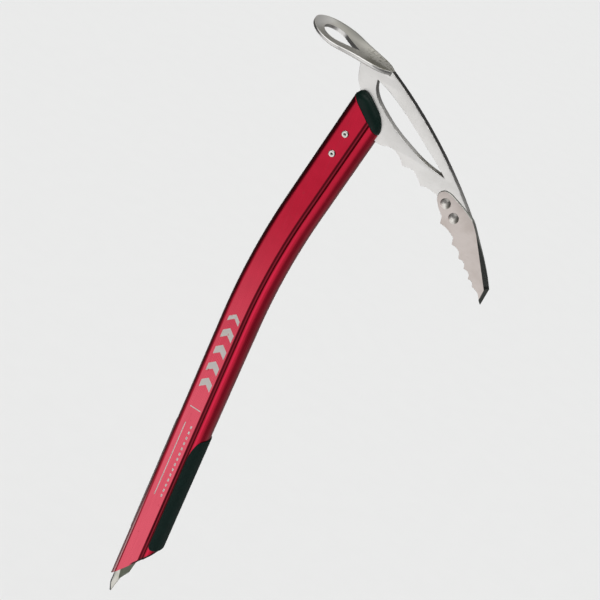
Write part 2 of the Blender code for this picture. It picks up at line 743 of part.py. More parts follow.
def build_spike(parts):
    """Folded steel spike: a ridge on each side, a point at the origin, a tang up in the plug."""
    levels = (
        (0.0, -1.0, 0.0, 0.35, 0.3),
        (8.5, -3.1, 1.3, 2.0, 1.4),
        (16.5, -3.0, 2.9, 3.6, 2.3),
        (21.0, -2.8, 2.5, 5.8, 3.2),
        (26.0, -2.7, 2.0, 8.4, 4.0),
        (38.0, -1.2, 2.2, 10.4, 4.6),
        (52.0, 0.6, 3.8, 12.0, 4.6),
        (SPIKE_TANG_TOP, 2.6, 5.6, 12.6, 3.6),
    )
    bm = bmesh.new()
    rings = []
    for z, rear, ridge, front, half_width in levels:
        fold = half_width * SPIKE_REAR_SHARE
        ring = [(rear, 0.0), (rear + SPIKE_REAR_DEPTH * half_width, -fold), (ridge, -half_width),
                (front, 0.0), (ridge, half_width), (rear + SPIKE_REAR_DEPTH * half_width, fold)]
        rings.append([bm.verts.new((x, y, z)) for x, y in ring])
    bridge(bm, rings)
    return link_mesh("spike", bm, parts, 20)


def build_spike_plug(parts, cutters, spike):
    """Moulded plug that fills the shaft's lower end and grips the spike's tang."""
    inner = offset_section(section_outline(), -WALL - GAP)
    plug = sweep("spike_plug", inner, BLANK_FOOT, grip_station(PLUG_TOP), parts)
    rear, front = shifted_cut(FOOT_CUT_REAR, FOOT_CUT_FRONT, 1.5)
    boolean(plug, cut_block("plug_foot_cut", rear, front, -1, cutters), "DIFFERENCE")
    clearance = spike.copy()
    clearance.data = spike.data.copy()
    clearance.name = "plug_spike_slot"
    cutters.objects.link(clearance)
    widen = bmesh.new()
    widen.from_mesh(clearance.data)
    middle = Vector((GRIP_AXIS_X - 3.5, 0.0, 0.0)) * MM
    for vertex in widen.verts:
        away = vertex.co - middle
        away.z = 0.0
        if away.length > 0:
            vertex.co += away.normalized() * (GAP + 0.25) * MM
        if vertex.co.z > (SPIKE_TANG_TOP - 1.0) * MM:
            vertex.co.z += GAP * MM
    widen.to_mesh(clearance.data)
    widen.free()
    boolean(plug, hide_cutter(clearance), "DIFFERENCE")


def assign_materials(parts):
    looks = {
        "shaft": RED_ANODISED, "head": ALLOY, "pick_tip": STEEL, "spike": STEEL,
        "pick_rivet_upper": RIVET_STEEL, "pick_rivet_lower": RIVET_STEEL,
        "head_rivet_upper": RIVET_STEEL, "head_rivet_lower": RIVET_STEEL,
        "head_insert_left": BLACK_NYLON, "head_insert_right": BLACK_NYLON,
        "spike_plug": BLACK_NYLON, "grip_pad_front": BLACK_RUBBER, "grip_pad_rear": BLACK_RUBBER,
    }
    for obj in parts.objects:
        obj.data.materials.clear()
        obj.data.materials.append(make_material(obj.name, looks[obj.name]))


def main():
    clear_scene()
    parts = new_collection("ice_axe")
    cutters = new_collection("ice_axe_cutters")
    build_shaft(parts, cutters)
    build_head(parts, cutters)
    build_pick_tip(parts, cutters)
    build_tip_rivets(parts)
    build_head_rivets(parts)
    build_insert(parts, cutters)
    build_grip_front(parts, cutters)
    build_grip_rear(parts)
    spike = build_spike(parts)
    build_spike_plug(parts, cutters, spike)
    assign_materials(parts)


main()
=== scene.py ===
"""Looks of the ice axe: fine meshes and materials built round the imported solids.

Lengths are millimetres in the frame of the solids, and MM turns them to metres. Only the camera,
the floor, noise scales and bump distances are in metres.
"""

import math

import bmesh
import bpy
from mathutils import Matrix, Vector


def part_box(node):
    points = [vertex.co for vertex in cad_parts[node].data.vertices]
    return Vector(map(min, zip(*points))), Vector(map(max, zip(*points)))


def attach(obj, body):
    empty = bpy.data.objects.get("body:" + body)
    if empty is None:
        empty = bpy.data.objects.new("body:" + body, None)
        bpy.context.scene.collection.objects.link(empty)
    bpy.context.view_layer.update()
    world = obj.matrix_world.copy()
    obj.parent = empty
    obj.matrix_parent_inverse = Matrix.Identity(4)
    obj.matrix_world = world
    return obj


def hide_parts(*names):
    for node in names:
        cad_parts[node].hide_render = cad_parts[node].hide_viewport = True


MM = 0.001
GAP = 0.3
MERGE_DISTANCE = 0.002
TURNED_SIDES = 64
BORE_SIDES = 48
NOISE_ROUGHNESS = 0.55

# The bent tube.
SHAFT_DEPTH = 28.4
SHAFT_WIDTH = 18.5
WALL = 1.3
GRIP_AXIS_X = 9.95
BEND_HEIGHT = 331.0
BEND_ANGLE = math.radians(9.85)
BEND_RADIUS = 610.0
BEND_HALF_LENGTH = BEND_RADIUS * BEND_ANGLE / 2
BEND_TANGENT = BEND_RADIUS * math.tan(BEND_ANGLE / 2)
GROOVE_X = 5.2
GROOVE_HALF_WIDTH = 2.3
GROOVE_DEPTH = 1.4
REAR_CORNER = 6.0
NOSE_START = 7.6
NOSE_SETBACK = 0.3
NOSE_POWER = 2.2
TOP_CUT_REAR = (19.4, 476.4)
TOP_CUT_FRONT = (46.0, 456.2)
FOOT_CUT_REAR = (-4.6, 18.9)
FOOT_CUT_FRONT = (24.3, 62.8)
RIM_RADIUS = 0.22

# The head, its adze and its steel tip.
HEAD_THICKNESS = 5.4
HEAD_EDGE_RADIUS = 0.35
TIP_THICKNESS = 3.8
TIP_PROUD = 1.0
TIP_EDGE_RADIUS = 0.2
GRIND_DEPTH = 3.4
SHARP_EDGE = 0.05
CORNER_ANGLE = math.radians(24.0)
SPINE_GRIND = ((135.0, 431.0), (158.8, 400.5))
END_GRIND = ((158.8, 400.5), (158.4, 387.4))
ADZE_ROOT = (36.0, 499.98)
ADZE_RISE = math.radians(8.6)
ADZE_ROUND_CENTRE = 42.1
ADZE_ROUND_RADIUS = 20.64
ADZE_HOLE_CENTRE = 44.8
ADZE_HOLE_RADIUS = 9.9
ADZE_HOLE_POINT = 25.3
ADZE_ROOT_THICKNESS = 3.2
ADZE_EDGE_THICKNESS = 2.0
ADZE_TAPER_START = 20.0
ADZE_CROWN = 2.0
ADZE_CURL = 1.5
ADZE_CURL_START = 36.0
ADZE_DISH = 2.0
ADZE_DISH_LENGTH = 30.0
ADZE_LENGTH = ADZE_ROUND_CENTRE + ADZE_ROUND_RADIUS
FILLET_RADIUS = 2.2
FILLET_START = -0.6
FILLET_LENGTH = 22.4
SPINE_START = (36.2, 500.0)
SPINE_END = (131.0, 433.7)
SPINE_SAGITTA = 4.9

# Rivets.
HEAD_RIVETS_ALONG = (118.3, 101.2)
HEAD_RIVET_OFFSET = -3.5
HEAD_RIVET_RADIUS = 1.9
HEAD_RIVET_BORE = 0.6
HEAD_RIVET_FLANGE = 2.5
HEAD_RIVET_LIP = 0.6
TIP_RIVETS = ((107.3, 439.2), (116.5, 432.9))
TIP_RIVET_RADIUS = 1.9
TIP_RIVET_HEAD = 3.7
TIP_RIVET_DOME = 1.5
TIP_RIVET_FAR_SCALE = 0.86
TIP_RIVET_SKIRT = 0.15

# Moulded pieces.
DOME_HEIGHT = 8.1
INSERT_FOOT = 78.0
TANG_FOOT = 85.6
TANG_REAR = -9.4
TANG_FRONT = 8.4
PAD_THICKNESS_TOP = 0.6
PAD_THICKNESS_FOOT = 1.1
PAD_EDGE_X = 7.0
PAD_FOOT = 63.8
PAD_TOP = 175.4
PAD_NECK = 154.0
PAD_HEEL = 67.2
FOLD_RADIUS = 0.22

# Printed marks on the flats of the tube.
MARKS_MIDDLE = 7.4
MARKS_HALF_WIDTH = 4.6
CHEVRONS = (217.0, 286.0)
CHEVRON_SLOPE = 0.9
CHEVRON_PITCH = 7.6
DIVIDER = (198.2, 199.1)
LOWER_MARKS = (112.0, 184.0)
PINSTRIPE_X = (4.2, 4.9)
DASHES_X = (9.6, 10.9)
DASH_PITCH = 2.6

# Painted light and shade along the tube, by their distance in front of its centre line: a highlight
# on the ridge, a highlight line and a shade line by the rear edge, and shade on the back corners.
RIDGE_HIGHLIGHT_X = 8.4
HIGHLIGHT_LINE_X = -11.2
SHADE_LINE_X = -9.8
CORNER_SHADE_X = (-11.9, -12.7)

# Where a tint, a painted shade or a polish of the head and its tip sets in and is full.
FAR_SHADE_Y = (9.0, 18.0)
PITTED_X = (4.0, 26.0)
ROOT_SHADE_X = (15.0, 22.0)
ROOT_SHADE_Y = (-0.5, -3.5)
RIM_SHADE_Z = (486.0, 491.0)
POLISH_Z = (440.0, 475.0)
TIP_END_Z = (402.5, 401.0)

# The camera: where it stands, in metres, and how it is turned.
CAMERA_PLACE = (0.301206, -0.962331, 0.847862)
CAMERA_RIGHT = (0.828351, 0.423697, 0.366492)
CAMERA_UP = (-0.51148, 0.30514, 0.80329)
CAMERA_BACK = (0.228524, -0.852862, 0.469472)
CAMERA_LENS = 96.0
CAMERA_SENSOR = 36.0

# The floor, in metres.
FLOOR_HEIGHT = -0.30
FLOOR_SIZE = 16.0

# The studio's light by direction: heights and sideways shares of a unit direction.
STUDIO_COLOUR = (1.0, 1.0, 0.995, 1.0)
TABLE_EDGE = (-0.02, 0.15)
TABLE_LIGHT = 1.0
LEFT_EDGE = (-0.84, -0.60)
LEFT_SHARE = 0.05
RIGHT_EDGE = (0.38, 0.80)
RIGHT_SHARE = 0.26
BACK_EDGE = (0.40, 0.75)
BACK_SHARE = 0.22
TOP_EDGE = (0.56, 0.96)
TOP_LIGHT = 2.35
ROOM_LIGHT = 0.05

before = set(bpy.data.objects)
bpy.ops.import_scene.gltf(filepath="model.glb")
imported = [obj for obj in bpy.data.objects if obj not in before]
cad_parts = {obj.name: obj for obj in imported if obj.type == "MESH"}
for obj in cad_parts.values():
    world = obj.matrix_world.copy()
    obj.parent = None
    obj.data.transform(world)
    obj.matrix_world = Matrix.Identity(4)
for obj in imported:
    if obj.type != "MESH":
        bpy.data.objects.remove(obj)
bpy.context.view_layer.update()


# --- Meshes ---

def clamped(value):
    return min(1.0, max(0.0, value))


def loose_object(name, data):
    obj = bpy.data.objects.new(name, data)
    bpy.context.scene.collection.objects.link(obj)
    return obj


def mesh_object(bm, name, scale=MM):
    """Writes a bmesh, in millimetres, as an object in metres."""
    bmesh.ops.scale(bm, vec=(scale, scale, scale), verts=bm.verts)
    bmesh.ops.recalc_face_normals(bm, faces=bm.faces)
    mesh = bpy.data.meshes.new(name)
    bm.to_mesh(mesh)
    bm.free()
    return loose_object(name, mesh)


def baked_mesh(obj):
    """The object's mesh with its modifiers applied."""
    bpy.context.view_layer.update()
    graph = bpy.context.evaluated_depsgraph_get()
    return bpy.data.meshes.new_from_object(obj.evaluated_get(graph))


def apply_modifiers(obj):
    mesh = baked_mesh(obj)
    obj.modifiers.clear()
    obj.data = mesh


def combine(obj, other, operation):
    """Cuts or joins one object with another, which is used up."""
    modifier = obj.modifiers.new("Combine", "BOOLEAN")
    modifier.operation = operation
    modifier.solver = "EXACT"
    modifier.object = other
    apply_modifiers(obj)
    bpy.data.objects.remove(other, do_unlink=True)


def ring_object(name, point_rings, endless=False):
    """A solid through closed rings of points, capped at both ends or joined end to end."""
    bm = bmesh.new()
    rings = [[bm.verts.new(point) for point in ring] for ring in point_rings]
    count = len(rings[0])
    for lower, upper in zip(rings, rings[1:] + rings[:1] if endless else rings[1:]):
        for index in range(count):
            following = (index + 1) % count
            bm.faces.new((lower[index], lower[following], upper[following], upper[index]))
    if not endless:
        bm.faces.new(rings[0])
        bm.faces.new(rings[-1])
    return mesh_object(bm, name)


def finish_piece(obj, material, nodes, smooth_angle=30.0):
    """Shades a finished piece, gives it its material, hangs it on the root body and hides the
    solids it stands for.
    """
    obj.data.shade_smooth()
    obj.data.set_sharp_from_angle(angle=math.radians(smooth_angle))
    obj.data.materials.clear()
    obj.data.materials.append(material)
    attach(obj, "root")
    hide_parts(*nodes)


def bore(piece, x, z, rivet_radius):
    """Cuts a rivet's clearance hole through a piece, along Y."""
    bm = bmesh.new()
    placement = Matrix.Translation((x, 0.0, z)) @ Matrix.Rotation(math.pi / 2, 4, "X")
    radius = rivet_radius + GAP
    bmesh.ops.create_cone(bm, cap_ends=True, segments=BORE_SIDES, radius1=radius,
                          radius2=radius, depth=40.0, matrix=placement)
    combine(piece, mesh_object(bm, "bore"), "DIFFERENCE")


def bore_head_rivets(piece):
    for along in HEAD_RIVETS_ALONG:
        bore(piece, *section_point(HEAD_RIVET_OFFSET, along), HEAD_RIVET_RADIUS)


def bore_tip_rivets(piece):
    for x, z in TIP_RIVETS:
        bore(piece, x, z, TIP_RIVET_RADIUS)


def block(name, placement, size):
    bm = bmesh.new()
    bmesh.ops.create_cube(bm, size=1.0, matrix=placement @ Matrix.Diagonal((*size, 1.0)))
    return mesh_object(bm, name)


def plate(name, outlines, low_y, high_y, edge_radius):
    """A flat plate in the XZ plane with rounded edges; each outline is (x, z, is_corner) points."""
    curve = bpy.data.curves.new(name, "CURVE")
    curve.dimensions = "2D"
    curve.fill_mode = "BOTH"
    curve.extrude = ((high_y - low_y) / 2 - edge_radius) * MM
    curve.bevel_depth = edge_radius * MM
    curve.bevel_resolution = 2
    curve.offset = -edge_radius * MM
    curve.resolution_u = 5
    for outline in outlines:
        spline = curve.splines.new("BEZIER")
        spline.bezier_points.add(len(outline) - 1)
        spline.use_cyclic_u = True
        for point, (x, z, is_corner) in zip(spline.bezier_points, outline):
            point.co = (x * MM, z * MM, 0.0)
            kind = "VECTOR" if is_corner else "AUTO"
            point.handle_left_type = kind
            point.handle_right_type = kind
    guide = loose_object(name + "_outline", curve)
    guide.rotation_euler = (math.pi / 2, 0.0, 0.0)
    guide.location = (0.0, (low_y + high_y) / 2 * MM, 0.0)
    mesh = baked_mesh(guide)
    bm = bmesh.new()
    bm.from_mesh(mesh)
    bm.transform(guide.matrix_world)
    bpy.data.objects.remove(guide, do_unlink=True)
    bmesh.ops.remove_doubles(bm, verts=bm.verts, dist=2 * MERGE_DISTANCE * MM)
    return mesh_object(bm, name, 1.0)


def face_loops(node, face_y):
    """The outlines of a solid plate's flat face at a distance from the middle, outer one first.

    Points where the outline turns sharply are corners and the rest lie on curves.
    """
    bm = bmesh.new()
    bm.from_mesh(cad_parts[node].data)
    bmesh.ops.remove_doubles(bm, verts=bm.verts, dist=MERGE_DISTANCE * MM)
    faces = [face for face in bm.faces
             if all(abs(vertex.co.y / MM - face_y) < 0.01 for vertex in face.verts)]
    chosen = set(faces)
    neighbours = {}
    for face in faces:
        for edge in face.edges:
            if sum(1 for other in edge.link_faces if other in chosen) == 1:
                first, second = edge.verts
                neighbours.setdefault(first, []).append(second)
                neighbours.setdefault(second, []).append(first)
    loops = []
    unused = set(neighbours)
    while unused:
        here = min(unused, key=lambda vertex: vertex.index)
        loop = []
        while here is not None:
            loop.append(here)
            unused.discard(here)
            here = next((vertex for vertex in neighbours[here] if vertex in unused), None)
        loops.append([Vector((vertex.co.x / MM, vertex.co.z / MM)) for vertex in loop])
    bm.free()
    loops.sort(key=loop_area, reverse=True)
    return [mark_corners(loop) for loop in loops]


def loop_area(loop):
    pairs = zip(loop, loop[1:] + loop[:1])
    return abs(sum(a.x * b.y - a.y * b.x for a, b in pairs)) / 2


def mark_corners(loop):
    marked = []
    for index, point in enumerate(loop):
        before = point - loop[index - 1]
        after = loop[(index + 1) % len(loop)] - point
        marked.append((point.x, point.y, before.angle(after, 0.0) > CORNER_ANGLE))
    return marked


def turned_y(x, z, profile):
    """Rings of a turned piece about an axis along Y; the profile holds (radius, y) pairs."""
    angles = [2 * math.pi * step / TURNED_SIDES for step in range(TURNED_SIDES)]
    return [[(x + radius * math.cos(angle), y, z + radius * math.sin(angle)) for angle in angles]
            for radius, y in profile]


# --- The tube's section and its centre line ---

def groove_dip(x):
    distance = abs(x - GROOVE_X) / GROOVE_HALF_WIDTH
    if distance >= 1.0:
        return 0.0
    return GROOVE_DEPTH * 0.5 * (1.0 + math.cos(math.pi * distance))


def side_half_width(x, grooved=True):
    """Half the shaft's width at a distance x in front of its centre line."""
    half_depth = SHAFT_DEPTH / 2
    half_width = SHAFT_WIDTH / 2
    if x > NOSE_START:
        along = min(1.0, (x - NOSE_START) / (half_depth - NOSE_START))
        width = (half_width - NOSE_SETBACK) * (1.0 - along ** NOSE_POWER) ** (1 / NOSE_POWER)
    elif x > -half_depth + REAR_CORNER:
        width = half_width - NOSE_SETBACK * max(0.0, (x - GROOVE_X) / (NOSE_START - GROOVE_X))
    else:
        along = min(1.0, (-half_depth + REAR_CORNER - x) / REAR_CORNER)
        width = half_width - REAR_CORNER + REAR_CORNER * math.sqrt(1.0 - along * along)
    return width - groove_dip(x) if grooved else width


def section_outline(grooved=True, first_x=None):
    """The shaft's outer section as (x, y) points, from the nose round the left side.

    With first_x, only the part in front of it, from its left end round the nose to its right end.
    """
    half_depth = SHAFT_DEPTH / 2
    nose = [half_depth - (half_depth - NOSE_START) * (1 - math.cos(math.radians(angle)))
            for angle in range(0, 86, 5)]
    groove = [GROOVE_X + GROOVE_HALF_WIDTH * (1 - step / 8) for step in range(17)]
    flat = [2.0, 0.6, -1.0, -2.8, -4.6, -6.4]
    corner = [-half_depth + REAR_CORNER - REAR_CORNER * math.sin(math.radians(angle))
              for angle in range(0, 91, 6)]
    stations = nose + groove + flat + corner
    if first_x is not None:
        stations = [x for x in stations if x > first_x + 0.1] + [first_x]
    left = [(x, -side_half_width(x, grooved)) for x in stations]
    right = [(x, -y) for x, y in left[1:]]
    return left + right[::-1] if first_x is None else left[::-1] + right


def offset_section(outline, distance, closed=True):
    """Moves each point of the section outwards along its normal."""
    moved = []
    count = len(outline)
    for index, point in enumerate(outline):
        before = Vector(outline[index - 1] if closed or index else point)
        after = Vector(outline[(index + 1) % count] if closed or index < count - 1 else point)
        tangent = (after - before).normalized()
        sign = 1.0 if closed else -1.0
        moved.append((point[0] - sign * tangent.y * distance,
                      point[1] + sign * tangent.x * distance))
    return moved


def place_on_shaft(x, y, along):
    """A point x in front of the centre line and y to its right, at a station along it."""
    middle = Vector((GRIP_AXIS_X, 0.0, BEND_HEIGHT))
    angle = min(BEND_ANGLE, max(0.0, (along + BEND_HALF_LENGTH) / BEND_RADIUS))
    tangent = Vector((math.sin(angle), 0.0, math.cos(angle)))
    point = middle + Vector((BEND_RADIUS * (1 - math.cos(angle)), 0.0,
                             BEND_RADIUS * math.sin(angle) - BEND_TANGENT))
    point += tangent * (min(0.0, along + BEND_HALF_LENGTH) + max(0.0, along - BEND_HALF_LENGTH))
    forward = Vector((tangent.z, 0.0, -tangent.x))
    return point + forward * x + Vector((0.0, y, 0.0))


def cut_directions(rear, front):
    """The direction along an oblique cut, rear to front, and the one square to it, upwards."""
    cut = (Vector(front) - Vector(rear)).normalized()
    return Vector((cut.x, 0.0, cut.y)), Vector((-cut.y, 0.0, cut.x))


def oblique_points(outline, along, rear, front):
    """Where the lines through a section's points meet the oblique cut through rear and front."""
    normal = cut_directions(rear, front)[1]
    level = normal.dot(Vector((rear[0], 0.0, rear[1])))
    points = []
    for x, y in outline:
        here = place_on_shaft(x, y, along)
        tangent = (place_on_shaft(x, y, along + math.copysign(1.0, along)) - here).normalized()
        points.append(here + tangent * ((level - normal.dot(here)) / normal.dot(tangent)))
    return points


def level_points(outline, along):
    return [place_on_shaft(x, y, along) for x, y in outline]


def tube_rings(outline):
    """Rings of a tube surface from the oblique foot, round the bend, to the oblique top."""
    foot = oblique_points(outline, -BEND_HALF_LENGTH - 1.0, FOOT_CUT_REAR, FOOT_CUT_FRONT)
    bend_foot = level_points(outline, -BEND_HALF_LENGTH)
    bend_top = level_points(outline, BEND_HALF_LENGTH)
    top = oblique_points(outline, BEND_HALF_LENGTH + 1.0, TOP_CUT_REAR, TOP_CUT_FRONT)
    rings = []
    for step in range(48):
        rings.append([low.lerp(high, step / 48) for low, high in zip(foot, bend_foot)])
    for step in range(30):
        rings.append(level_points(outline, -BEND_HALF_LENGTH + 2 * BEND_HALF_LENGTH * step / 30))
    for step in range(31):
        rings.append([low.lerp(high, step / 30) for low, high in zip(bend_top, top)])
    return rings


def section_point(x, along):
    point = place_on_shaft(x, 0.0, along)
    return point.x, point.z


def straight(outline):
    """The same outline with every point a corner."""
    return [(x, z, True) for x, z in outline]


# --- Pieces ---

def build_shaft(material):
    """The bent tube: a full wall with small rounded rims at both cuts, rivet bores and web slot."""
    outer = section_outline()
    outside = tube_rings(outer)
    inside = tube_rings(offset_section(outer, -WALL))
    soft_outer = tube_rings(offset_section(outer, -RIM_RADIUS))
    soft_inner = tube_rings(offset_section(outer, -WALL + RIM_RADIUS))

    def drawn_in(ring, towards, distance):
        return [a + (b - a).normalized() * distance for a, b in zip(ring, towards)]

    outside.insert(1, drawn_in(outside[0], outside[1], 4 * RIM_RADIUS))
    outside.insert(-1, drawn_in(outside[-1], outside[-2], 4 * RIM_RADIUS))
    for wall in (outside, inside):
        wall[0] = drawn_in(wall[0], wall[1], RIM_RADIUS)
        wall[-1] = drawn_in(wall[-1], wall[-2], RIM_RADIUS)
    rings = outside + [soft_outer[-1], soft_inner[-1]]
    rings += inside[::-1] + [soft_inner[0], soft_outer[0]]
    shaft = ring_object("shaft_tube", rings, endless=True)
    bore_head_rivets(shaft)
    half_slot = HEAD_THICKNESS / 2 + GAP
    outline = [section_point(0.0, 122.3), (60.0, 450.6), (60.0, 470.0), section_point(0.0, 145.0)]
    slot = plate("web_slot", [straight(outline)], -half_slot, half_slot, SHARP_EDGE)
    combine(shaft, slot, "DIFFERENCE")
    finish_piece(shaft, material, ["shaft"])


def smooth_profile(points, steps):
    """A smooth curve through (along, across) points, as a finer list."""
    fine = []
    for index in range(len(points) - 1):
        before = Vector(points[max(0, index - 1)])
        start = Vector(points[index])
        end = Vector(points[index + 1])
        after = Vector(points[min(len(points) - 1, index + 2)])
        for step in range(steps):
            t = step / steps
            value = 0.5 * (2 * start + (end - before) * t
                           + (2 * before - 5 * start + 4 * end - after) * t * t
                           + (3 * start - before - 3 * end + after) * t * t * t)
            fine.append((value.x, value.y))
    return fine + [tuple(points[-1])]


def arc_points(centre, radius, start, steps):
    """(along, across) points of an arc from an angle towards 0, which is left out."""
    angles = [start * (1 - step / steps) for step in range(steps)]
    return [(centre + radius * math.cos(angle), radius * math.sin(angle)) for angle in angles]


def adze_rim():
    """Half of the teardrop's rim, root to round end, as (along, across) points."""
    root = [(-1.5, 1.2), (-1.0, 2.9), (1.0, 5.4), (4.0, 8.2), (8.5, 10.6), (15.0, 12.6),
            (24.0, 15.0), (31.0, 17.6)]
    end = arc_points(ADZE_ROUND_CENTRE, ADZE_ROUND_RADIUS, math.radians(112.0), 40)
    return smooth_profile(root + end[:1], 4)[:-1] + end + [(ADZE_LENGTH - 0.01, 0.7)]


ADZE_RIM = adze_rim()


def adze_half_width(along):
    """Half the plate's width, between the points of its rim."""
    for (start, narrow), (end, wide) in zip(ADZE_RIM, ADZE_RIM[1:]):
        if along <= end:
            return narrow + (wide - narrow) * max(0.0, along - start) / (end - start)
    return ADZE_RIM[-1][1]


def adze_sag(along, across):
    """How far the plate falls below its root's slope: low sides, drooping end, dished middle."""
    width = adze_half_width(along)
    side = ADZE_CROWN * (width / ADZE_ROUND_RADIUS) ** 2
    droop = max(0.0, along - ADZE_CURL_START) / (ADZE_LENGTH - ADZE_CURL_START)
    rise = clamped(along / ADZE_DISH_LENGTH)
    end = clamped((along - ADZE_ROUND_CENTRE) / ADZE_ROUND_RADIUS)
    depth = ADZE_DISH * rise * rise * (3 - 2 * rise) * (1 - end * end)
    return side + ADZE_CURL * droop * droop + depth * (1 - min(1.0, abs(across) / width) ** 2)


def adze_point(along, across, lift):
    """A point on the adze plate; along runs back from the adze root."""
    slope = Vector((-math.cos(ADZE_RISE), 0.0, math.sin(ADZE_RISE)))
    normal = Vector((math.sin(ADZE_RISE), 0.0, math.cos(ADZE_RISE)))
    root = Vector((ADZE_ROOT[0], 0.0, ADZE_ROOT[1]))
    sag = adze_sag(along, across)
    return root + slope * along + Vector((0.0, across, 0.0)) + normal * (lift - sag)


def adze_thickness(along):
    part = clamped((along - ADZE_TAPER_START) / (ADZE_LENGTH - ADZE_TAPER_START))
    return ADZE_ROOT_THICKNESS + (ADZE_EDGE_THICKNESS - ADZE_ROOT_THICKNESS) * part


def adze_section(along, width):
    """A closed ring across the plate: crowned top, round edges and under face."""
    thickness = adze_thickness(along)
    edge = min(0.45 * thickness, 0.8 * width)
    flat = [(width - edge) * part / 12 for part in range(-12, 13)]
    round_edge = [math.radians(angle) for angle in (30, 60, 90, 120, 150)]
    ring = [adze_point(along, across, 0.0) for across in flat]
    ring += [adze_point(along, width - edge + edge * math.sin(angle),
                        -thickness / 2 * (1 - math.cos(angle))) for angle in round_edge]
    ring += [adze_point(along, across, -thickness) for across in reversed(flat)]
    ring += [adze_point(along, -(width - edge) - edge * math.sin(angle),
                        -thickness / 2 * (1 - math.cos(angle))) for angle in reversed(round_edge)]
    return ring


def adze_hole_loop():
    """The teardrop hole's whole rim, with a small radius at its point."""
    tangent = math.acos(ADZE_HOLE_RADIUS / (ADZE_HOLE_CENTRE - ADZE_HOLE_POINT))
    arc = arc_points(ADZE_HOLE_CENTRE, ADZE_HOLE_RADIUS, math.pi - tangent, 36)
    half = [(ADZE_HOLE_POINT + 0.35, 0.0)] + arc
    end = [(ADZE_HOLE_CENTRE + ADZE_HOLE_RADIUS, 0.0)]
    return half + end + [(along, -across) for along, across in reversed(arc)]


def build_fillet():
    """The web's flared top: concave flanks that run out under the adze plate."""
    half = HEAD_THICKNESS / 2 - 0.03
    rings = []
    for step in range(25):
        along = FILLET_START + FILLET_LENGTH * step / 24
        reach = min(1.0, step / 4, (24 - step) / 5 + 0.15)
        radius = FILLET_RADIUS * max(0.12, reach)
        depth = adze_thickness(along) - 0.25
        flank = []
        for turn in range(9):
            angle = math.radians(90.0 * turn / 8)
            flank.append((half + radius * (1 - math.sin(angle)),
                          -depth - radius * (1 - math.cos(angle))))
        left = [adze_point(along, -across, lift) for across, lift in flank]
        right = [adze_point(along, across, lift) for across, lift in flank]
        cap = -depth + 0.8
        ring = left + [adze_point(along, 0.0, flank[-1][1])] + right[::-1]
        ring += [adze_point(along, half + radius, cap), adze_point(along, -half - radius, cap)]
        rings.append(ring)
    return ring_object("fillet", rings)


def build_head(material):
    """One-piece alloy head: web and tang, adze plate with its hole, and the fillet between them."""
    half = HEAD_THICKNESS / 2
    head = plate("head_forging", face_loops("head", half)[:2], -half, half, HEAD_EDGE_RADIUS)
    adze = ring_object("adze", [adze_section(*row) for row in ADZE_RIM])
    hole_loop = adze_hole_loop()
    hole = ring_object("hole", [[adze_point(along, across, lift) for along, across in hole_loop]
                                for lift in (20.0, -20.0)])
    combine(head, adze, "UNION")
    combine(head, hole, "DIFFERENCE")
    combine(head, build_fillet(), "UNION")
    seat_face = -half - TIP_PROUD + TIP_THICKNESS + GAP
    seat = plate("seat", [grown_loop(tip_loop(), GAP)], -half - 5.0, seat_face, SHARP_EDGE)
    combine(head, seat, "DIFFERENCE")
    bore_tip_rivets(head)
    bore_head_rivets(head)
    finish_piece(head, material, ["head"])


def tip_loop():
    return face_loops("pick_tip", -HEAD_THICKNESS / 2 - TIP_PROUD)[0]


def grown_loop(loop, distance):
    """The same outline moved outwards by a distance."""
    points = [Vector((x, z)) for x, z, _ in loop]
    turning = sum(a.x * b.y - a.y * b.x for a, b in zip(points, points[1:] + points[:1]))
    sign = 1.0 if turning > 0 else -1.0
    grown = []
    for index, point in enumerate(points):
        before = (point - points[index - 1]).normalized()
        after = (points[(index + 1) % len(points)] - point).normalized()
        normal = (Vector((before.y, -before.x)) + Vector((after.y, -after.x))).normalized() * sign
        grown.append((point.x + normal.x * distance, point.y + normal.y * distance, loop[index][2]))
    return grown


def ground_flat(first, second, widths, depth, face_y):
    """A block that grinds a flat along the line first-second of a plate's near face.

    widths are how far the flat reaches in over the face at the two ends, and depth is how deep
    it is at the plate's edge at the second end.
    """
    first = Vector((first[0], face_y, first[1]))
    second = Vector((second[0], face_y, second[1]))
    along = (second - first).normalized()
    outward = along.cross(Vector((0.0, 1.0, 0.0))).normalized()
    inner = [first - outward * widths[0], second - outward * widths[1]]
    edge = second + Vector((0.0, depth, 0.0))
    along = (inner[1] - inner[0]).normalized()
    normal = along.cross(edge - inner[0]).normalized()
    if normal.y > 0:
        normal = -normal
    across = normal.cross(along)
    placement = Matrix((along, across, normal)).transposed().to_4x4()
    placement.translation = (inner[0] + inner[1]) / 2 + normal * 10.0
    return block("grinder", placement, ((second - first).length + 30.0, 40.0, 20.0))


def build_pick_tip(material):
    """Steel tip: lapped plate with saw teeth, ground along its spine and its end."""
    near = -HEAD_THICKNESS / 2 - TIP_PROUD
    tip = plate("pick_tip_steel", [tip_loop()], near, near + TIP_THICKNESS, TIP_EDGE_RADIUS)
    combine(tip, ground_flat(*SPINE_GRIND, (0.0, 2.6), GRIND_DEPTH, near), "DIFFERENCE")
    combine(tip, ground_flat(*END_GRIND, (2.4, 2.2), GRIND_DEPTH, near), "DIFFERENCE")
    bore_tip_rivets(tip)
    finish_piece(tip, material, ["pick_tip"])


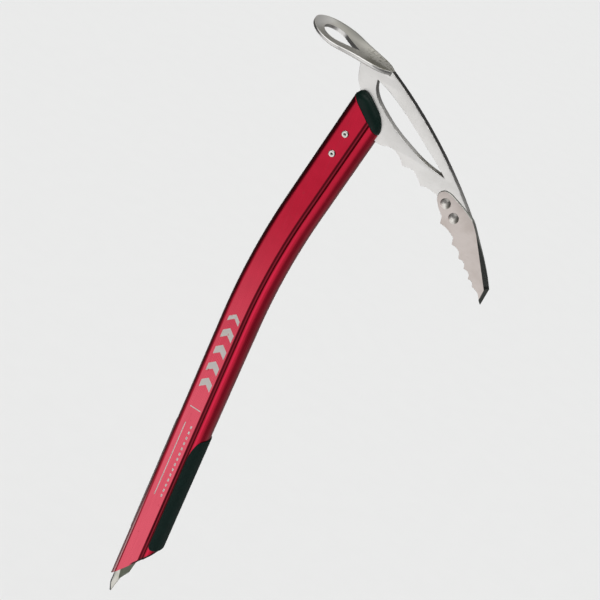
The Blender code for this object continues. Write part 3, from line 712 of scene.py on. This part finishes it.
def build_tip_rivets(material):
    """Solid rivets with a domed head each side, the far one a little smaller."""
    near = -HEAD_THICKNESS / 2 - TIP_PROUD - GAP
    far = HEAD_THICKNESS / 2 + GAP
    dome = []
    for step in range(14):
        share = 1.0 - step / 14
        dome.append((TIP_RIVET_HEAD * share, TIP_RIVET_DOME * (1.0 - share ** 1.6)))
    dome.append((0.02, TIP_RIVET_DOME))
    foot = TIP_RIVET_HEAD - TIP_RIVET_SKIRT
    scale = TIP_RIVET_FAR_SCALE
    for name, (x, z) in zip(("pick_rivet_upper", "pick_rivet_lower"), TIP_RIVETS):
        profile = [(radius, near - height) for radius, height in reversed(dome)]
        profile += [(foot, near), (TIP_RIVET_RADIUS, near), (TIP_RIVET_RADIUS, far),
                    (foot * scale, far)]
        profile += [(radius * scale, far + height * scale) for radius, height in dome]
        rivet = ring_object(name + "_domed", turned_y(x, z, profile))
        finish_piece(rivet, material, [name])


def build_head_rivets(material):
    """Hollow rivets: a rolled lip each side and an open bore."""
    face = SHAFT_WIDTH / 2 + GAP
    lip_middle = (HEAD_RIVET_FLANGE + HEAD_RIVET_BORE) / 2
    lip_half = (HEAD_RIVET_FLANGE - HEAD_RIVET_BORE) / 2
    for name, along in zip(("head_rivet_upper", "head_rivet_lower"), HEAD_RIVETS_ALONG):
        x, z = section_point(HEAD_RIVET_OFFSET, along)
        lip = []
        for step in range(13):
            angle = math.pi * step / 12
            lip.append((lip_middle + lip_half * math.cos(angle),
                        face + HEAD_RIVET_LIP * math.sin(angle) ** 0.8))
        near = [(radius, -y) for radius, y in reversed(lip)]
        profile = near + [(HEAD_RIVET_RADIUS, -face), (HEAD_RIVET_RADIUS, face)] + lip
        rivet = ring_object(name + "_rolled", turned_y(x, z, profile), endless=True)
        finish_piece(rivet, material, [name])


def insert_rings():
    """The moulded insert: a plug inside the tube and a domed end over the oblique cut."""
    inner = offset_section(section_outline(), -WALL - GAP)
    slope, normal = cut_directions(TOP_CUT_REAR, TOP_CUT_FRONT)
    lift = Vector((normal.x, normal.z)) * GAP
    rear = Vector(TOP_CUT_REAR) + lift
    front = Vector(TOP_CUT_FRONT) + lift
    high = BEND_HALF_LENGTH + 1.0
    flush = oblique_points(section_outline(grooved=False), high, rear, front)
    neck = oblique_points(inner, high, rear, front)
    centre = sum(flush, Vector()) / len(flush)
    reach = max(abs((point - centre).dot(slope)) for point in flush)
    rings = [level_points(inner, INSERT_FOOT), neck]
    rings.append([point + (centre - point) * 0.02 for point in flush])
    for scale in (1.0, 0.998, 0.99, 0.975, 0.95, 0.915, 0.87, 0.81, 0.74, 0.66, 0.57, 0.47, 0.36,
                  0.24, 0.12, 0.03):
        ring = []
        for point in flush:
            lean = (point - centre).dot(slope) / reach
            power = 2.8 - 1.4 * lean
            height = DOME_HEIGHT * (1 - scale ** power) ** (1 / power)
            ring.append(centre + (point - centre) * scale + normal * height)
        rings.append(ring)
    return rings


def web_space():
    """The web and tang with a working gap all round, as a cutter for the insert."""
    half_slot = HEAD_THICKNESS / 2 + GAP
    outline = [section_point(TANG_REAR, 137.0), section_point(-10.3, 140.0), (20.9, 478.4),
               (15.0, 490.0), (60.0, 490.0), (60.0, 450.6), (49.0, 450.6),
               section_point(TANG_FRONT, 123.5), section_point(TANG_FRONT, TANG_FOOT),
               section_point(TANG_REAR, TANG_FOOT)]
    return plate("web_space", [straight(outline)], -half_slot, half_slot, SHARP_EDGE)


def build_inserts(material):
    """The two insert halves, each cut from the whole insert."""
    for name, side in (("head_insert_left", -1), ("head_insert_right", 1)):
        insert = ring_object(name + "_moulded", insert_rings())
        middle = Matrix.Translation((20.0, side * (30.0 + GAP / 2) / 2, 460.0))
        combine(insert, block("half", middle, (160.0, 30.0 - GAP / 2, 160.0)), "INTERSECT")
        combine(insert, web_space(), "DIFFERENCE")
        bore_head_rivets(insert)
        finish_piece(insert, material, [name], 35.0)


def grip_station(height):
    """The station along the centre line at a height in the straight grip below the bend."""
    return height - BEND_HEIGHT + BEND_TANGENT - BEND_HALF_LENGTH


def pad_edge(height):
    """How far in front of the centre line the front pad starts at a height."""
    nose = SHAFT_DEPTH / 2 - 0.25
    if height > PAD_NECK:
        part = (height - PAD_NECK) / (PAD_TOP - PAD_NECK)
        return PAD_EDGE_X + (nose - PAD_EDGE_X) * (1.0 - math.sqrt(1.0 - min(1.0, part) ** 2))
    if height < PAD_HEEL:
        return PAD_EDGE_X + 2.4 * ((PAD_HEEL - height) / (PAD_HEEL - PAD_FOOT)) ** 2
    return PAD_EDGE_X


def build_grip_front(material):
    """Moulded rubber pad wrapped round the shaft's nose, thinned to a soft edge all round."""
    steps = 110
    spans = 56
    rings = []
    for step in range(steps + 1):
        part = step / steps
        height = PAD_FOOT + (PAD_TOP - PAD_FOOT) * (1 - math.cos(math.pi * part)) / 2
        row = resample(section_outline(first_x=pad_edge(height)), spans)
        full = PAD_THICKNESS_FOOT + (PAD_THICKNESS_TOP - PAD_THICKNESS_FOOT) * part
        ends = min(height - PAD_FOOT, PAD_TOP - height)
        length = path_length(row)
        station = grip_station(height)
        outer = []
        for index in range(spans + 1):
            side = length * min(index, spans - index) / spans
            thickness = full * soft_edge(min(side, ends + 0.02), 1.0)
            lifted = offset_section(row, GAP + max(0.06, thickness), closed=False)
            outer.append(place_on_shaft(*lifted[index], station))
        inner = level_points(offset_section(row, GAP, closed=False), station)
        rings.append(outer + inner[::-1])
    pad = ring_object("grip_pad_front_moulded", rings)
    finish_piece(pad, material, ["grip_pad_front"], 50.0)


def soft_edge(distance, radius):
    """0 at an edge, 1 beyond a radius from it, round in between."""
    part = clamped(distance / radius)
    return math.sqrt(1.0 - (1.0 - part) ** 2)


def path_length(points):
    return sum((Vector(b) - Vector(a)).length for a, b in zip(points, points[1:]))


def resample(points, spans):
    """The same open path with evenly spaced points."""
    points = [Vector(point) for point in points]
    lengths = [0.0]
    for before, after in zip(points, points[1:]):
        lengths.append(lengths[-1] + (after - before).length)
    result = []
    segment = 0
    for step in range(spans + 1):
        target = lengths[-1] * step / spans
        while segment < len(points) - 2 and lengths[segment + 1] < target:
            segment += 1
        span = lengths[segment + 1] - lengths[segment]
        part = (target - lengths[segment]) / span if span else 0.0
        result.append(tuple(points[segment].lerp(points[segment + 1], min(1.0, part))))
    return result


def build_grip_rear(material):
    """Thin rubber strip on the flat back of the shaft, round-ended and soft-edged."""
    low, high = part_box("grip_pad_rear")
    half_width = (high.y - low.y) / 2 / MM
    thickness = (high.x - low.x) / MM
    foot, top = low.z / MM, high.z / MM
    rings = []
    steps = 120
    for step in range(steps + 1):
        height = foot + (top - foot) * (1 - math.cos(math.pi * step / steps)) / 2
        ends = min(height - foot, top - height)
        width = half_width * (0.05 + 0.95 * soft_edge(ends, half_width * 0.8))
        outer = []
        for index in range(17):
            across = -width + 2 * width * index / 16
            rise = thickness * soft_edge(min(width - abs(across), ends) + 0.04, 0.5)
            outer.append((high.x / MM - rise, across, height))
        inner = [(high.x / MM, width, height), (high.x / MM, -width, height)]
        rings.append(outer + inner)
    pad = ring_object("grip_pad_rear_moulded", rings)
    finish_piece(pad, material, ["grip_pad_rear"], 50.0)


def build_spike(material):
    """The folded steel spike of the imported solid, with its sharp folds broken to small radii."""
    bm = bmesh.new()
    bm.from_mesh(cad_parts["spike"].data)
    bmesh.ops.remove_doubles(bm, verts=bm.verts, dist=MERGE_DISTANCE * MM)
    bmesh.ops.dissolve_limit(bm, angle_limit=math.radians(0.3), verts=bm.verts, edges=bm.edges)
    spike = mesh_object(bm, "spike_folded", 1.0)
    rounding = spike.modifiers.new("Broken folds", "BEVEL")
    rounding.width = FOLD_RADIUS * MM
    rounding.segments = 2
    rounding.limit_method = "ANGLE"
    rounding.angle_limit = math.radians(30.0)
    apply_modifiers(spike)
    finish_piece(spike, material, ["spike"], 12.0)


# --- Materials ---

class Nodes:
    """A small helper for writing a tree of shader nodes."""

    def __init__(self, owner):
        owner.use_nodes = True
        self.tree = owner.node_tree

    def node(self, kind, **settings):
        made = self.tree.nodes.new(kind)
        for key, value in settings.items():
            setattr(made, key, value)
        return made

    def link(self, source, target):
        self.tree.links.new(source, target)

    def fill(self, made, values):
        for key, value in values.items():
            if isinstance(value, bpy.types.NodeSocket):
                self.link(value, made.inputs[key])
            else:
                made.inputs[key].default_value = value
        return made

    def math(self, operation, first, second=0.0, clamp=False):
        made = self.node("ShaderNodeMath", operation=operation, use_clamp=clamp)
        self.fill(made, {0: first, 1: second})
        return made.outputs[0]

    def times(self, first, *others):
        for other in others:
            first = self.math("MULTIPLY", first, other)
        return first

    def plus(self, first, second):
        return self.math("ADD", first, second)

    def minus(self, first, second):
        return self.math("SUBTRACT", first, second)

    def ramp(self, source, low, high, low_value=0.0, high_value=1.0):
        made = self.node("ShaderNodeMapRange", interpolation_type="SMOOTHSTEP")
        self.fill(made, {"Value": source, "From Min": low, "From Max": high, "To Min": low_value,
                         "To Max": high_value})
        return made.outputs["Result"]

    def near(self, value, centre, outer, inner):
        """1 within the inner distance of a centre value, 0 beyond the outer one."""
        return self.ramp(self.math("ABSOLUTE", self.minus(value, centre)), outer, inner)


class Shader(Nodes):
    """The nodes of one material."""

    def __init__(self, name, metallic):
        self.material = bpy.data.materials.new(name)
        super().__init__(self.material)
        self.surface = self.tree.nodes["Principled BSDF"]
        self.surface.inputs["Metallic"].default_value = metallic
        self.place = self.node("ShaderNodeTexCoord").outputs["Object"]

    def noise(self, scale, detail, stretch=(1.0, 1.0, 1.0)):
        mapping = self.fill(self.node("ShaderNodeMapping"),
                            {"Vector": self.place, "Scale": stretch})
        made = self.node("ShaderNodeTexNoise")
        self.fill(made, {"Vector": mapping.outputs[0], "Scale": scale, "Detail": detail,
                         "Roughness": NOISE_ROUGHNESS})
        return made.outputs["Fac"]

    def mix(self, factor, first, second):
        made = self.node("ShaderNodeMix", data_type="RGBA")
        self.fill(made, {0: factor})
        for socket, value in ((made.inputs[6], first), (made.inputs[7], second)):
            if isinstance(value, bpy.types.NodeSocket):
                self.link(value, socket)
            else:
                socket.default_value = (*value, 1.0)
        return made.outputs[2]

    def axis(self, name):
        """Position along an axis, in millimetres."""
        made = self.fill(self.node("ShaderNodeSeparateXYZ"), {0: self.place})
        return self.math("DIVIDE", made.outputs[name], MM)

    def turned(self, name):
        """Which way a face points along an axis, from -1 to 1."""
        normal = self.node("ShaderNodeNewGeometry").outputs["Normal"]
        return self.fill(self.node("ShaderNodeSeparateXYZ"), {0: normal}).outputs[name]

    def facing(self, name):
        """How much a face points along an axis, either way."""
        return self.math("ABSOLUTE", self.turned(name))

    def distance_xz(self, x, z):
        """Distance in millimetres from an axis along Y."""
        across = self.minus(self.axis("X"), x)
        height = self.minus(self.axis("Z"), z)
        return self.math("SQRT", self.plus(self.times(across, across), self.times(height, height)))

    def choose(self, switch, first, second):
        """first where the switch is 0 and second where it is 1."""
        return self.plus(self.times(first, self.minus(1.0, switch)), self.times(second, switch))

    def walls(self):
        """1 on a plate's machined walls, 0 on its faces and on the adze's blasted top."""
        return self.times(self.ramp(self.facing("Y"), 0.5, 0.3),
                          self.ramp(self.facing("X"), 0.26, 0.36))

    def edges(self, low=0.53, high=0.62):
        """1 on convex edges and 0 on the flats."""
        return self.ramp(self.node("ShaderNodeNewGeometry").outputs["Pointiness"], low, high)

    def paint(self, first, second, share, *layers):
        """The base colour: two tints blended by a share, then (mask, colour) layers over them."""
        tint = self.mix(share, first, second)
        for mask, colour in layers:
            tint = self.mix(mask, tint, colour)
        self.link(tint, self.surface.inputs["Base Color"])

    def rough(self, value):
        self.fill(self.surface, {"Roughness": value})

    def bump(self, heights, strength, distance):
        """One bump from the sum of (height, weight) pairs."""
        total = None
        for height, weight in heights:
            part = self.times(height, weight)
            total = part if total is None else self.plus(total, part)
        made = self.fill(self.node("ShaderNodeBump"), {"Strength": strength, "Distance": distance,
                                                       "Height": total})
        self.link(made.outputs[0], self.surface.inputs["Normal"])


def spine_circle():
    """Centre and radius of the arc that the head's spine follows."""
    chord = Vector(SPINE_END) - Vector(SPINE_START)
    radius = (chord.length ** 2 / 4 + SPINE_SAGITTA ** 2) / (2 * SPINE_SAGITTA)
    inward = Vector((chord.y, -chord.x)).normalized()
    return (Vector(SPINE_START) + Vector(SPINE_END)) / 2 + inward * (radius - SPINE_SAGITTA), radius


def alloy_material():
    """Blasted aluminium with a fine grain.

    The walls are darker, a painted shade, and the spine gets smoother towards the adze. The adze's
    top is darker, with painted shade on its far side, pits, painted shade by its root and painted
    shade on its rim.
    """
    made = Shader("blasted_alloy", 1.0)
    grain = made.noise(2600.0, 2.0)
    cloud = made.noise(60.0, 4.0)
    scratch = made.noise(420.0, 2.0, (0.35, 1.0, 3.0))
    pits = made.noise(520.0, 3.0)
    x, y, z = [made.axis(name) for name in "XYZ"]
    sideways = made.facing("Y")
    centre, radius = spine_circle()
    outermost = made.ramp(made.distance_xz(centre.x, centre.y), radius - 2.5, radius - 1.2)
    wall = made.walls()
    upward = made.ramp(made.facing("Z"), 0.9, 0.97)
    # Painted shade on the far side of the adze's top.
    far_side_shade = made.times(upward, made.ramp(y, *FAR_SHADE_Y), 0.75)
    stains = made.times(upward, made.ramp(x, *PITTED_X), made.ramp(pits, 0.52, 0.60))
    # Painted shade on the adze's top by its root.
    patch = made.times(upward, made.ramp(x, *ROOT_SHADE_X), made.ramp(y, *ROOT_SHADE_Y), 0.7)
    edge = made.times(made.ramp(sideways, 0.3, 0.5), made.ramp(sideways, 0.985, 0.9), 0.4)
    # Painted shade on the walls and flanks high on the head, round the adze.
    rim = made.times(made.ramp(z, *RIM_SHADE_Z), made.ramp(sideways, 0.96, 0.88),
                     made.minus(1.0, upward), 0.6)
    made.paint((0.87, 0.855, 0.84), (0.80, 0.785, 0.765), made.ramp(cloud, 0.35, 0.7),
        (made.ramp(scratch, 0.62, 0.72, 0.0, 0.35), (0.70, 0.69, 0.67)),
        (upward, (0.60, 0.585, 0.535)),
        (far_side_shade, (0.27, 0.265, 0.24)),
        (stains, (0.20, 0.19, 0.16)),
        # Painted shade on the plate's walls.
        (wall, (0.58, 0.57, 0.55)),
        (patch, (0.20, 0.19, 0.155)),
        (edge, (0.80, 0.79, 0.78)),
        (rim, (0.40, 0.39, 0.375)))
    polish = made.times(wall, outermost, made.ramp(z, *POLISH_Z, -0.14, 0.24))
    inner = made.times(wall, made.minus(1.0, outermost), 0.16)
    base = made.plus(made.minus(made.ramp(grain, 0.3, 0.7, 0.36, 0.48), polish), inner)
    made.rough(made.plus(base, made.times(stains, 0.2)))
    made.bump([(grain, 0.7), (scratch, 0.3), (stains, -1.2)], 0.35, 0.00004)
    return made.material


def steel_material():
    """Bead-blasted stainless steel with a warm cast; its ground flats are darker and smoother."""
    made = Shader("blasted_steel", 1.0)
    grain = made.noise(3000.0, 2.0)
    cloud = made.noise(90.0, 4.0)
    streak = made.noise(500.0, 2.0, (0.3, 1.0, 2.5))
    ground = made.ramp(made.facing("Y"), 0.93, 0.80)
    spine = made.ramp(made.facing("Y"), 0.5, 0.3)
    made.paint((0.68, 0.615, 0.585), (0.60, 0.535, 0.50), made.ramp(cloud, 0.35, 0.7),
        (made.ramp(streak, 0.6, 0.72, 0.0, 0.35), (0.54, 0.49, 0.46)),
        (ground, (0.52, 0.54, 0.51)),
        (spine, (0.62, 0.63, 0.58)),
        (made.times(ground, made.ramp(made.axis("Z"), *TIP_END_Z)), (0.16, 0.17, 0.155)))
    polish = made.times(ground, made.minus(1.0, spine), 0.18)
    made.rough(made.minus(made.ramp(grain, 0.3, 0.7, 0.34, 0.46), polish))
    made.bump([(grain, 0.7), (streak, 0.3)], 0.35, 0.00004)
    return made.material


def rivet_material():
    """Dull steel with soft spots and paler edges, darker on the side towards the pick: painted
    shade.
    """
    made = Shader("rivet_steel", 1.0)
    spots = made.noise(900.0, 3.0)
    made.paint((0.84, 0.81, 0.77), (0.68, 0.65, 0.61), made.ramp(spots, 0.45, 0.7),
        (made.edges(), (0.90, 0.88, 0.85)),
        # Painted shade on the side of each dome towards the pick.
        (made.ramp(made.turned("X"), 0.15, 0.5), (0.22, 0.21, 0.185)))
    made.rough(made.ramp(spots, 0.3, 0.75, 0.32, 0.46))
    made.bump([(spots, 1.0)], 0.25, 0.00005)
    return made.material


def spike_material():
    """Ground steel, streaked lengthways, with painted shade: olive in front, shaded at the back, a
    dark rear line.
    """
    made = Shader("ground_steel", 1.0)
    streak = made.noise(700.0, 3.0, (3.0, 3.0, 0.25))
    cloud = made.noise(120.0, 3.0)
    x, z = made.axis("X"), made.axis("Z")
    # Painted shade: olive-dark on the facets that face forward.
    front = made.times(made.ramp(made.turned("X"), 0.25, 0.45), made.ramp(z, 14.0, 19.0))
    ahead_of_rear = made.minus(x, made.ramp(z, 0.0, 8.5, -1.0, -3.05))
    shade = made.times(made.ramp(ahead_of_rear, 3.2, 1.2, 0.0, 0.65), made.ramp(z, 8.0, 16.0))
    made.paint((0.72, 0.70, 0.65), (0.58, 0.57, 0.50), made.ramp(cloud, 0.35, 0.7),
        (shade, (0.26, 0.27, 0.255)),
        # Painted shade: a dark line along the rear edge.
        (made.ramp(ahead_of_rear, 1.5, 1.1), (0.060, 0.068, 0.068)),
        (front, (0.150, 0.165, 0.125)))
    made.rough(made.ramp(streak, 0.3, 0.7, 0.28, 0.44))
    made.bump([(streak, 1.0)], 0.4, 0.00004)
    return made.material


def ahead_of_middle(made):
    """Millimetres in front of the bent tube's centre line, anywhere along it."""
    x, z = made.axis("X"), made.axis("Z")
    bend_foot = place_on_shaft(0.0, 0.0, -BEND_HALF_LENGTH)
    bend_top = place_on_shaft(0.0, 0.0, BEND_HALF_LENGTH)
    upright = made.minus(x, GRIP_AXIS_X)
    curved = made.minus(BEND_RADIUS, made.distance_xz(GRIP_AXIS_X + BEND_RADIUS, bend_foot.z))
    leaning = made.minus(made.times(made.minus(x, bend_top.x), math.cos(BEND_ANGLE)),
                         made.times(made.minus(z, bend_top.z), math.sin(BEND_ANGLE)))
    ahead = made.choose(made.math("GREATER_THAN", z, bend_foot.z), upright, curved)
    return made.choose(made.math("GREATER_THAN", z, bend_top.z), ahead, leaning)


def printed_marks(made):
    """Plain print on the flats: chevrons, a divider line, a pinstripe and a row of dashes."""
    x, z = made.axis("X"), made.axis("Z")
    spread = made.math("ABSOLUTE", made.minus(x, MARKS_MIDDLE))
    inside = made.ramp(spread, MARKS_HALF_WIDTH + 0.15, MARKS_HALF_WIDTH)

    def band(value, low, high, blur=0.12):
        return made.times(made.ramp(value, low - blur, low + blur),
                          made.ramp(value, high + blur, high - blur))

    slanted = made.plus(z, made.times(spread, CHEVRON_SLOPE))
    pitch = made.math("PINGPONG", made.minus(slanted, CHEVRONS[0]), CHEVRON_PITCH)
    chevrons = made.times(made.ramp(pitch, 4.1, 4.4), band(slanted, *CHEVRONS), inside)
    divider = made.times(band(z, *DIVIDER), inside)
    pinstripe = made.times(band(x, *PINSTRIPE_X), band(z, *LOWER_MARKS))
    dash = made.ramp(made.math("PINGPONG", made.minus(z, LOWER_MARKS[0]), DASH_PITCH), 1.2, 1.4)
    dashes = made.times(dash, band(x, *DASHES_X), band(z, *LOWER_MARKS))
    total = made.math("MAXIMUM", made.math("MAXIMUM", chevrons, divider),
                      made.math("MAXIMUM", pinstripe, dashes))
    return made.times(total, made.ramp(made.math("ABSOLUTE", made.axis("Y")), 8.9, 9.1))


def foot_cut_shade(made):
    """1 on a thin line of painted shade along the front of the foot's cut."""
    normal = cut_directions(FOOT_CUT_REAR, FOOT_CUT_FRONT)[1]
    level = normal.x * FOOT_CUT_REAR[0] + normal.z * FOOT_CUT_REAR[1]
    x, z = made.axis("X"), made.axis("Z")
    above = made.minus(made.plus(made.times(x, normal.x), made.times(z, normal.z)), level)
    return made.times(made.ramp(above, 1.6, 1.1), made.ramp(x, 8.0, 11.0))


def shaft_material():
    """Red anodised tube: drawing lines along its length, fine scuffs and plain pale print.

    The flats are paler towards the foot, a painted reflection. The groove and the back corners
    carry painted shade, the ridge in front of the groove a painted highlight, and a painted
    highlight line and a painted shade line run by the rear edge near the foot.
    """
    made = Shader("red_anodised", 1.0)
    made.surface.inputs["Coat Weight"].default_value = 0.12
    made.surface.inputs["Coat Roughness"].default_value = 0.22
    lines = made.noise(900.0, 2.0, (2.2, 2.2, 0.04))
    cloud = made.noise(45.0, 4.0)
    scuff = made.noise(260.0, 4.0, (1.0, 1.0, 0.6))
    z = made.axis("Z")
    flat = made.ramp(made.math("ABSOLUTE", made.axis("Y")), 9.05, 9.20)
    ahead = ahead_of_middle(made)
    # Painted highlight on the ridge in front of the groove, stronger towards the foot.
    ridge = made.times(made.near(ahead, RIDGE_HIGHLIGHT_X, 1.0, 0.3), made.ramp(z, 420.0, 300.0, 0.1, 0.8))
    low = made.ramp(z, 130.0, 70.0)
    print_left = made.times(printed_marks(made), made.ramp(scuff, 0.72, 0.66))
    # Painted shade in the groove.
    groove = made.times(made.near(ahead, GROOVE_X, GROOVE_HALF_WIDTH, 0.9), 0.72)
    made.paint((0.53, 0.012, 0.040), (0.46, 0.010, 0.033), made.ramp(cloud, 0.3, 0.7),
        # Painted reflection: the flats paler towards the foot.
        (made.times(flat, made.ramp(z, 400.0, 160.0)), (0.76, 0.105, 0.155)),
        (made.ramp(lines, 0.55, 0.75, 0.0, 0.25), (0.62, 0.04, 0.08)),
        (made.ramp(scuff, 0.66, 0.75, 0.0, 0.45), (0.40, 0.02, 0.04)),
        (groove, (0.11, 0.010, 0.018)),
        (ridge, (0.74, 0.022, 0.075)),
        # Painted highlight line by the rear edge near the foot.
        (made.times(made.near(ahead, HIGHLIGHT_LINE_X, 0.75, 0.45), low), (0.92, 0.58, 0.60)),
        # Painted shade line just inside the highlight line.
        (made.times(made.near(ahead, SHADE_LINE_X, 0.7, 0.3), low), (0.22, 0.012, 0.025)),
        # Painted shade on the back corners.
        (made.ramp(ahead, *CORNER_SHADE_X, 0.0, 0.85), (0.07, 0.006, 0.010)),
        # Painted shade line along the front of the foot's cut.
        (foot_cut_shade(made), (0.045, 0.020, 0.022)),
        (print_left, (0.74, 0.69, 0.66)))
    made.link(made.math("SUBTRACT", 1.0, print_left, clamp=True), made.surface.inputs["Metallic"])
    made.rough(made.plus(made.ramp(lines, 0.3, 0.7, 0.26, 0.36), made.times(print_left, 0.25)))
    made.bump([(lines, 0.5), (scuff, 0.3), (print_left, 0.6)], 0.22, 0.00005)
    return made.material


def rubber_material():
    """Moulded rubber: a fine pebble grain with patches of dust and slightly paler edges."""
    made = Shader("moulded_rubber", 0.0)
    made.surface.inputs["Specular IOR Level"].default_value = 0.12
    pebble = made.fill(made.node("ShaderNodeTexVoronoi"), {"Vector": made.place, "Scale": 1500.0})
    dust = made.noise(140.0, 5.0)
    made.paint((0.0042, 0.0185, 0.0150), (0.0085, 0.0260, 0.0215), made.ramp(dust, 0.45, 0.75),
        (made.times(made.edges(0.52, 0.6), 0.4), (0.014, 0.034, 0.029)))
    made.rough(made.ramp(dust, 0.3, 0.7, 0.54, 0.7))
    made.bump([(pebble.outputs["Distance"], 0.8), (dust, 0.3)], 0.35, 0.00008)
    return made.material


def nylon_material():
    """Moulded nylon with a fine grain, flow marks and rubbed patches."""
    made = Shader("moulded_nylon", 0.0)
    made.surface.inputs["Specular IOR Level"].default_value = 0.18
    grain = made.noise(2200.0, 2.0)
    flow = made.noise(80.0, 4.0)
    rubbed = made.noise(300.0, 4.0)
    made.paint((0.0028, 0.0150, 0.0112), (0.0050, 0.0200, 0.0155), made.ramp(flow, 0.35, 0.7),
        (made.ramp(rubbed, 0.6, 0.72, 0.0, 0.6), (0.010, 0.028, 0.023)))
    made.rough(made.ramp(grain, 0.3, 0.7, 0.36, 0.5))
    made.bump([(grain, 0.8), (flow, 0.4)], 0.3, 0.00005)
    return made.material


# --- Studio ---

def build_floor():
    bm = bmesh.new()
    bmesh.ops.create_grid(bm, x_segments=1, y_segments=1, size=FLOOR_SIZE / 2,
                          matrix=Matrix.Translation((0.0, 0.0, FLOOR_HEIGHT)))
    floor = mesh_object(bm, "studio_floor", 1.0)
    paper = Shader("studio_paper", 0.0)
    fibre = paper.noise(30.0, 3.0)
    paper.paint((0.800, 0.803, 0.803), (0.806, 0.809, 0.809), paper.ramp(fibre, 0.3, 0.7))
    paper.rough(0.9)
    paper.surface.inputs["Specular IOR Level"].default_value = 0.0
    floor.data.materials.append(paper.material)
    floor.visible_glossy = False


def build_world():
    """The studio by direction: a pale table below that darkens to the sides and the back.

    A dim room stands above it, with soft light from the top.
    """
    world = bpy.data.worlds.new("studio")
    bpy.context.scene.world = world
    made = Nodes(world)
    place = made.node("ShaderNodeTexCoord").outputs["Generated"]
    x, y, z = made.fill(made.node("ShaderNodeSeparateXYZ"), {0: place}).outputs
    table = made.times(made.ramp(z, *TABLE_EDGE, TABLE_LIGHT, 0.0),
                       made.ramp(x, *LEFT_EDGE, LEFT_SHARE, 1.0),
                       made.ramp(x, *RIGHT_EDGE, 1.0, RIGHT_SHARE),
                       made.ramp(y, *BACK_EDGE, 1.0, BACK_SHARE))
    top = made.ramp(z, *TOP_EDGE, 0.0, TOP_LIGHT)
    room = made.ramp(z, *TABLE_EDGE, 0.0, ROOM_LIGHT)
    made.fill(made.tree.nodes["Background"], {"Strength": made.plus(made.plus(table, top), room),
                                              "Color": STUDIO_COLOUR})


def build_camera():
    camera = loose_object("camera", bpy.data.cameras.new("camera"))
    camera.data.sensor_width = CAMERA_SENSOR
    camera.data.lens = CAMERA_LENS
    camera.data.clip_start = 0.02
    camera.data.clip_end = 60.0
    turn = Matrix((CAMERA_RIGHT, CAMERA_UP, CAMERA_BACK)).transposed()
    camera.matrix_world = Matrix.LocRotScale(Vector(CAMERA_PLACE), turn.to_quaternion(), None)
    bpy.context.scene.camera = camera


def build_axe():
    alloy = alloy_material()
    steel = steel_material()
    rivet = rivet_material()
    rubber = rubber_material()
    nylon = nylon_material()
    build_shaft(shaft_material())
    build_head(alloy)
    build_pick_tip(steel)
    build_tip_rivets(rivet)
    build_head_rivets(rivet)
    build_inserts(nylon)
    build_grip_front(rubber)
    build_grip_rear(rubber)
    build_spike(spike_material())
    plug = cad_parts["spike_plug"]
    plug.data.materials.clear()
    plug.data.materials.append(nylon)


build_camera()
build_world()
build_floor()
build_axe()
bpy.context.scene.view_settings.view_transform = "Standard"
